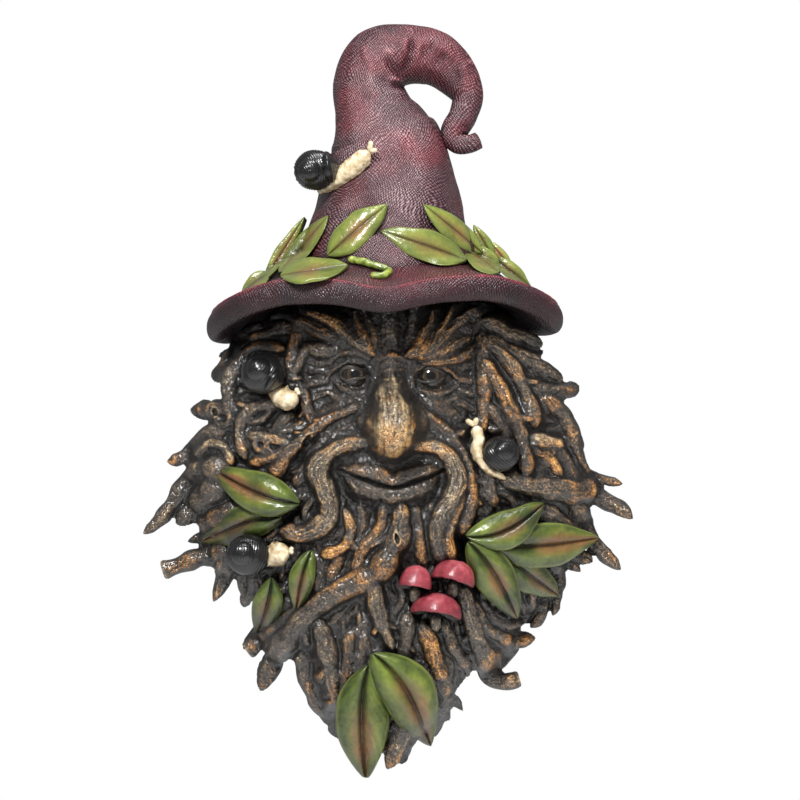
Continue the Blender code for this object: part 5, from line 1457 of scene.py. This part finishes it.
def snail_grids():
    shells, bodies = [], []
    for seed, ((shell, radius, route, depth, thickness), mouth) in enumerate(zip(SNAILS, SHELL_MOUTHS)):
        share = np.linspace(0.0, 1.0, 44)
        xz = spline(route, share)
        under = body_depth(xz[:, 0], xz[:, 1], seed == 0)
        rise = 2.5 + 1.2 * smooth_share((share - 0.55) * 2.5)
        shell_depth = max(depth, float(under[:22].mean()) + 4.0)
        shells += shell_grid(shell, shell_depth, radius, thickness, mouth, seed)
        lobe_x, lobe_z, lobe_radius = SHELL_LOBES[seed]
        last = np.linspace(0.0, 1.0, 40)
        on = 0.2 + 0.95 * last
        line = stack(between((shell[0], lobe_x), on), shell_depth + 1.5, between((shell[1], lobe_z), on))
        width = between((radius * 0.9, lobe_radius), last)
        shells.append(ribbed_tube(line, width, seed))
        radii = np.interp(share, (0.0, 0.25, 0.55, 0.8, 1.0), (0.35, 0.8, 1.1, 1.0, 0.9))
        radii = SNAIL_BODY_RADIUS * BODY_SHARES[seed] * radii
        points = np.stack([xz[:, 0], under + rise, xz[:, 1]], axis=1)
        bodies.append(smooth_tube(points, radii, 28, 0.5, 0.50, 300 + seed, rough=0.3, squash=0.8))
        foot = np.stack([xz[:, 0], under + 0.8, xz[:, 1]], axis=1)
        bodies.append(smooth_tube(foot, radii * 1.2, 28, 0.5, 0.30, 310 + seed, rough=0.4, squash=0.5))
        head, before = xz[-1], xz[-8]
        ahead = (head - before) / np.hypot(*(head - before))
        aside = np.array((-ahead[1], ahead[0]))
        for way, reach in ((0.8, 5.4 * STALK_SHARES[seed]), (-0.8, 4.2 * STALK_SHARES[seed])):
            tip = head + ahead * reach * 0.75 + aside * way * reach * 0.7
            stalk = np.linspace(0.0, 1.0, 12)
            line = head + (tip - head) * stalk[:, None]
            points = np.stack([line[:, 0], under[-1] + rise[-1] + 0.8 + 1.4 * stalk, line[:, 1]], axis=1)
            radii = np.interp(stalk, (0.0, 0.6, 0.85, 1.0), (2.0, 1.3, 1.6, 1.5))
            bodies.append(smooth_tube(points, radii, 18, 0.3, 0.55, 320 + seed, rough=0.15))
    return shells, bodies


def cap_grid(foot, half, height, lean, seed):
    """A mushroom cap: a dome over radial gills, tipped back so that they show."""
    x0, z0 = foot
    depth0 = dome_at(foot) + CAP_FORWARD
    share = np.linspace(0.0, 1.0, 48)
    curve = spline(CAP_PROFILE, share)
    turn = np.linspace(0.0, 2.0 * math.pi, 124, endpoint=False)[None, :]
    out, up = curve[:, 0][:, None], curve[:, 1][:, None]
    under = np.clip((share[:, None] - 0.70) / 0.08, 0.0, 1.0)
    gills = 0.05 * np.cos(turn * GILLS) * under
    wave = 0.07 * noise(stack(np.cos(turn) * 1.4, np.sin(turn) * 1.4, seed + 0.0 * turn), 17) * out
    a = half * (out + wave) * np.cos(turn)
    b = half * (out + wave) * np.sin(turn)
    dents = 0.03 * noise(stack(a * 0.35, b * 0.35, seed + 0.0 * a), 20)
    c = height * (up + gills - wave * 0.5 + dents)
    tip = math.radians(CAP_TIP)
    b, c = b * math.cos(tip) + c * math.sin(tip), c * math.cos(tip) - b * math.sin(tip)
    roll = math.radians(lean)
    a, c = a * math.cos(roll) - c * math.sin(roll), c * math.cos(roll) + a * math.sin(roll)
    points = stack(x0 + a, depth0 + b, z0 + c)
    # Painted light and shade: the top of the cap is lighter and its lower edge darker, and the grooves between the
    # gills darker
    tone = 0.20 + 0.30 * np.clip(up, 0.0, 1.0) + 0.12 * noise(points * 0.3, 18)
    tone = tone + under * (0.16 * np.cos(turn * GILLS) - 0.04)
    return Grid(points, True, tone, 0.0, under + 0.0 * turn)


# Paint


def attribute(tree, name):
    made = tree.nodes.new("ShaderNodeAttribute")
    made.attribute_name = name
    return made.outputs["Fac"]


def noise_texture(tree, scale, detail=4.0):
    made = tree.nodes.new("ShaderNodeTexNoise")
    made.inputs["Scale"].default_value = scale
    made.inputs["Detail"].default_value = detail
    made.inputs["Roughness"].default_value = 0.6
    coordinates = tree.nodes.new("ShaderNodeTexCoord")
    tree.links.new(coordinates.outputs["Object"], made.inputs["Vector"])
    return made.outputs["Fac"]


def math_node(tree, operation, a, b, c=None, clamp=False):
    made = tree.nodes.new("ShaderNodeMath")
    made.operation = operation
    made.use_clamp = clamp
    for index, value in enumerate((a, b, c)):
        if value is None:
            continue
        if isinstance(value, (int, float)):
            made.inputs[index].default_value = value
        else:
            tree.links.new(value, made.inputs[index])
    return made.outputs[0]


def ramp(tree, factor, stops):
    made = tree.nodes.new("ShaderNodeValToRGB")
    elements = made.color_ramp.elements
    while len(elements) < len(stops):
        elements.new(0.5)
    for element, (position, colour) in zip(elements, stops):
        element.position = position
        element.color = (*colour, 1.0)
    tree.links.new(factor, made.inputs["Fac"])
    return made.outputs["Color"]


def mix(tree, factor, a, b):
    made = tree.nodes.new("ShaderNodeMix")
    made.data_type = "RGBA"
    for socket, value in ((made.inputs[0], factor), (made.inputs[6], a), (made.inputs[7], b)):
        if isinstance(value, (int, float)):
            socket.default_value = value
        elif isinstance(value, tuple):
            socket.default_value = (*value, 1.0)
        else:
            tree.links.new(value, socket)
    return made.outputs[2]


def new_material(name):
    material = bpy.data.materials.new(name)
    material.use_nodes = True
    tree = material.node_tree
    return material, tree, tree.nodes["Principled BSDF"]


def set_gloss(shader, roughness, coat, coat_roughness):
    """The base is left out where its roughness has a texture."""
    if roughness is not None:
        shader.inputs["Roughness"].default_value = roughness
    shader.inputs["Coat Weight"].default_value = coat
    shader.inputs["Coat Roughness"].default_value = coat_roughness


def bump(tree, shader, height, distance, strength=1.0, layers=("Normal", "Coat Normal")):
    """Raises the named layers of a shader by a height."""
    made = tree.nodes.new("ShaderNodeBump")
    made.inputs["Distance"].default_value = distance
    made.inputs["Strength"].default_value = strength
    tree.links.new(height, made.inputs["Height"])
    for layer in layers:
        tree.links.new(made.outputs["Normal"], shader.inputs[layer])


def bark_material():
    material, tree, shader = new_material("bark")
    speckle = noise_texture(tree, 1300.0, 3.0)
    patches = noise_texture(tree, 120.0, 4.0)
    tone = math_node(tree, "MULTIPLY_ADD", speckle, 1.3, attribute(tree, "tone"))
    tone = math_node(tree, "MULTIPLY_ADD", patches, 0.5, tone)
    tone = math_node(tree, "SUBTRACT", tone, 0.88, clamp=True)
    cool = ramp(tree, tone, BARK_STOPS)
    hot = ramp(tree, tone, OCHRE_STOPS)
    spots = math_node(tree, "MULTIPLY_ADD", patches, 2.4, -1.25)
    glow = math_node(tree, "MULTIPLY_ADD", attribute(tree, "warm"), 1.5, spots, clamp=True)
    colour = mix(tree, glow, cool, hot)
    tree.links.new(colour, shader.inputs["Base Color"])
    rough = math_node(tree, "MULTIPLY_ADD", speckle, 0.3, 0.2)
    tree.links.new(rough, shader.inputs["Roughness"])
    set_gloss(shader, None, 0.6, 0.1)
    shader.inputs["Coat IOR"].default_value = 1.65
    rough_height = math_node(tree, "MULTIPLY_ADD", patches, 1.6, speckle)
    bump(tree, shader, rough_height, 0.0010, 1.0, ("Normal",))
    glints = noise_texture(tree, 800.0, 2.0)
    bump(tree, shader, glints, 0.0004, 1.0, ("Coat Normal",))
    return material


def eye_material():
    material, tree, shader = new_material("eye_gloss")
    mottle = noise_texture(tree, 700.0, 3.0)
    ring = math_node(tree, "MULTIPLY_ADD", mottle, 0.06, attribute(tree, "mark"))
    iris = ramp(tree, math_node(tree, "SUBTRACT", ring, 0.03), EYE_STOPS)
    tree.links.new(iris, shader.inputs["Base Color"])
    set_gloss(shader, 0.12, 0.5, 0.05)
    return material


def weave_height(tree):
    """Two sets of fine slanting threads, wavering like pulled cloth."""
    coordinates = tree.nodes.new("ShaderNodeTexCoord")
    waver = tree.nodes.new("ShaderNodeTexNoise")
    waver.inputs["Scale"].default_value = 30.0
    tree.links.new(coordinates.outputs["Object"], waver.inputs["Vector"])
    offset = tree.nodes.new("ShaderNodeVectorMath")
    offset.operation = "MULTIPLY_ADD"
    tree.links.new(waver.outputs["Color"], offset.inputs[0])
    offset.inputs[1].default_value = (0.02, 0.02, 0.02)
    tree.links.new(coordinates.outputs["Object"], offset.inputs[2])
    height = 0.0
    for slant, scale, share in reversed(THREADS):
        turned = tree.nodes.new("ShaderNodeMapping")
        turned.inputs["Rotation"].default_value = (0.0, math.radians(slant), 0.0)
        tree.links.new(offset.outputs[0], turned.inputs["Vector"])
        threads = tree.nodes.new("ShaderNodeTexWave")
        threads.bands_direction = "X"
        for socket, value in (("Scale", scale), ("Distortion", 3.6), ("Detail", 2.0), ("Detail Scale", 2.0)):
            threads.inputs[socket].default_value = value
        tree.links.new(turned.outputs["Vector"], threads.inputs["Vector"])
        height = math_node(tree, "MULTIPLY_ADD", threads.outputs["Fac"], share, height)
    return height


def hat_material():
    material, tree, shader = new_material("hat_cloth")
    weave = weave_height(tree)
    cloud = noise_texture(tree, 45.0, 4.0)
    grit = noise_texture(tree, 600.0, 2.0)
    tone = math_node(tree, "MULTIPLY_ADD", cloud, 0.5, attribute(tree, "tone"))
    tone = math_node(tree, "MULTIPLY_ADD", weave, 0.75, tone)
    tone = math_node(tree, "MULTIPLY_ADD", grit, 0.3, tone)
    tone = math_node(tree, "SUBTRACT", tone, 0.79, clamp=True)
    colour = ramp(tree, tone, HAT_STOPS)
    red = ramp(tree, tone, HAT_RED_STOPS)
    blush = math_node(tree, "MULTIPLY_ADD", attribute(tree, "warm"), 1.6, 0.35, clamp=True)
    colour = mix(tree, blush, colour, red)
    rim = math_node(tree, "MULTIPLY", attribute(tree, "mark"), 0.62, clamp=True)
    colour = mix(tree, rim, colour, RIM_RED)
    tree.links.new(colour, shader.inputs["Base Color"])
    set_gloss(shader, 0.42, 0.12, 0.25)
    bump(tree, shader, weave, 0.0004, 1.0)
    return material


def leaf_material():
    material, tree, shader = new_material("leaf_green")
    cloud = noise_texture(tree, 60.0, 3.0)
    streaks = noise_texture(tree, 420.0, 2.0)
    tone = math_node(tree, "MULTIPLY_ADD", cloud, 0.7, attribute(tree, "tone"))
    tone = math_node(tree, "MULTIPLY_ADD", streaks, 0.25, tone)
    tone = math_node(tree, "SUBTRACT", tone, 0.47, clamp=True)
    colour = ramp(tree, tone, LEAF_STOPS)
    edge = math_node(tree, "MULTIPLY", attribute(tree, "mark"), 0.6, clamp=True)
    colour = mix(tree, edge, colour, LEAF_EDGE)
    brown = math_node(tree, "MULTIPLY_ADD", cloud, 1.2, 0.1)
    brown = math_node(tree, "MULTIPLY", attribute(tree, "warm"), brown, clamp=True)
    tint = mix(tree, tone, *LEAF_BROWNS)
    colour = mix(tree, brown, colour, tint)
    tree.links.new(colour, shader.inputs["Base Color"])
    set_gloss(shader, 0.32, 0.3, 0.2)
    rough_height = math_node(tree, "MULTIPLY_ADD", cloud, 2.5, streaks)
    bump(tree, shader, rough_height, 0.0004, 0.8)
    return material


def plain_material(name, stops, roughness, coat, scale, depth, underside=None):
    material, tree, shader = new_material(name)
    mottle = noise_texture(tree, scale, 4.0)
    tone = math_node(tree, "MULTIPLY_ADD", mottle, 0.6, attribute(tree, "tone"))
    tone = math_node(tree, "SUBTRACT", tone, 0.3, clamp=True)
    colour = ramp(tree, tone, stops)
    if underside is not None:
        dark = mix(tree, tone, *underside)
        colour = mix(tree, attribute(tree, "mark"), colour, dark)
    tree.links.new(colour, shader.inputs["Base Color"])
    set_gloss(shader, roughness, coat, 0.1)
    bump(tree, shader, mottle, depth, 0.6)
    return material


# Painted shade in the hollows


def paint_shade_in_hollows(groups):
    """Lowers the tone of every point that lies deep between its neighbours, seen from the front: painted shade where
    less light reaches, which on the bark also stands for the dark wash in its crevices.
    """
    pitch = 0.8
    low = LOW[[0, 2]] - 4.0
    size = ((HIGH[[0, 2]] + 4.0 - low) / pitch).astype(int) + 2
    top = np.zeros(size)

    def cells(points):
        cell = np.clip(((points[..., [0, 2]] - low) / pitch).astype(int), 0, size - 1)
        return cell[..., 0], cell[..., 1]

    for grids, _ in groups:
        for g in grids:
            np.maximum.at(top, cells(g.points), g.points[..., 1])
    for _ in range(2):
        neighbours = np.maximum.reduce([np.roll(top, step, axis) for axis in (0, 1) for step in (-1, 1)])
        top = np.where(top <= 0.0, neighbours, top)
    near, wide = blur(top, 2.2), blur(top, 6.0)
    for grids, strength in groups:
        for g in grids:
            own = g.points[..., 1]
            sunk = np.clip((near[cells(g.points)] - own - 0.3) / 4.0, -0.4, 1.0)
            deep = np.clip((wide[cells(g.points)] - own) / 12.0, -0.3, 1.0)
            g.tone = g.tone - strength * (0.5 * sunk + 0.5 * deep)


# Making

thin_roots = thin_root_grids()
roots = root_grids()
forms = root_forms() + face_forms() + moustache_forms()
face = [face_grid(forms)]
left_front, right_front = root_relief(forms)
eyes, lids = eye_grids()
core = [core_grid(), back_plate()]
hat = [hat_grid()]
brim = [brim_grid()]
root_leaves = root_leaf_grids()
hat_leaves = hat_leaf_grids()
tendril_xz = spline(TENDRIL, np.linspace(0.0, 1.0, 40))
tendril_path = np.insert(tendril_xz, 1, hat_surface(tendril_xz[:, 0], tendril_xz[:, 1]) + 2.6, axis=1)
tendril = [smooth_tube(tendril_path, np.full(40, TENDRIL_RADIUS), 18, 0.5, 0.5)]
shells, bodies = snail_grids()
caps = [cap_grid(*values, seed) for seed, values in enumerate(MUSHROOMS)]
stems = []
for (x, z), *_ in MUSHROOMS:
    depth = dome_at((x, z)) + CAP_FORWARD
    stem = np.array([(x, depth - 5.0, z - 8.0), (x, depth - 2.0, z - 4.0), (x, depth - 1.0, z + 1.0)])
    stems.append(smooth_tube(stem, np.array([3.4, 2.8, 2.6]), 24, 0.5, 0.3))

# Painted shade in the hollows, strongest on the mass behind the roots and on the mushroom stems
paint_shade_in_hollows([
    (thin_roots, 0.6),
    (roots, 0.6),
    ([left_front, right_front], 0.6),
    (face, 0.45),
    (lids, 0.4),
    (core, 0.9),
    (hat, 0.3),
    (brim, 0.3),
    (root_leaves, 0.4),
    (hat_leaves, 0.3),
    (tendril, 0.3),
    (shells, 0.2),
    (bodies, 0.4),
    (caps, 0.4),
    (stems, 0.8),
])

bark_paint = bark_material()
piece("core", core, bark_paint)
piece("roots_left", [left_front], bark_paint)
piece("roots_right", [right_front], bark_paint)
piece("roots_outer", roots, bark_paint)
piece("roots_under", thin_roots, bark_paint)
piece("face", face, bark_paint)
piece("eyelids", lids, bark_paint)
piece("eyes", eyes, eye_material())
hat_paint = hat_material()
piece("hat_crown", hat, hat_paint)
piece("hat_brim", brim, hat_paint)
leaf_paint = leaf_material()
piece("leaves_beard", root_leaves, leaf_paint)
piece("leaves_hat", hat_leaves + tendril, leaf_paint)
shell_paint = plain_material("shell_black", SHELL_STOPS, 0.28, 0.35, 300.0, 0.0003)
piece("snail_shells", shells, shell_paint)
body_paint = plain_material("snail_cream", BODY_STOPS, 0.4, 0.2, 400.0, 0.0004)
piece("snail_bodies", bodies, body_paint)
cap_paint = plain_material("mushroom_red", CAP_STOPS, 0.36, 0.3, 420.0, 0.0006, underside=GILL_COLOURS)
piece("mushroom_caps", caps, cap_paint)
piece("mushroom_stems", stems, bark_paint)

# Floor, light and camera

bpy.ops.mesh.primitive_plane_add(size=8.0, location=(0.0, 0.0, -0.9))
floor = bpy.context.object
floor.name = "floor"
floor_material, _, floor_shader = new_material("pale_floor")
floor_shader.inputs["Base Color"].default_value = (0.86, 0.86, 0.86, 1.0)
floor_shader.inputs["Roughness"].default_value = 0.8
floor.data.materials.append(floor_material)

world = bpy.data.worlds.new("studio")
bpy.context.scene.world = world
world.use_nodes = True
sky = world.node_tree.nodes["Background"]
sky.inputs["Color"].default_value = (1.0, 1.0, 1.0, 1.0)
light_path = world.node_tree.nodes.new("ShaderNodeLightPath")
seen = light_path.outputs["Is Camera Ray"]
strength = math_node(world.node_tree, "MULTIPLY_ADD", seen, 1.0 - SKY_LIGHT, SKY_LIGHT)
world.node_tree.links.new(strength, sky.inputs["Strength"])
bpy.context.scene.view_settings.view_transform = "Standard"


def area_light(name, place, energy, size):
    light = bpy.data.lights.new(name, "AREA")
    light.energy = energy
    light.size = size
    obj = bpy.data.objects.new(name, light)
    obj.location = place
    obj.rotation_euler = (Vector((0.0, 0.0, -0.03)) - Vector(place)).to_track_quat("-Z", "Y").to_euler()
    bpy.context.scene.collection.objects.link(obj)
    return obj


area_light("key", (-0.40, -1.35, 0.9), 40.0, 0.32)
area_light("fill", (1.15, -0.9, 0.35), 24.0, 1.6).visible_glossy = False
area_light("top", (0.1, -0.3, 1.4), 16.0, 0.5)

camera_data = bpy.data.cameras.new("camera")
camera = bpy.data.objects.new("camera", camera_data)
bpy.context.scene.collection.objects.link(camera)
bpy.context.scene.camera = camera
camera_data.lens = LENS
camera_data.sensor_width = SENSOR
camera.location = (0.0035, FRAME_PLANE_Y - FRAME_WIDTH * LENS / SENSOR, -0.035)
camera.rotation_euler = (math.radians(90.0), 0.0, 0.0)
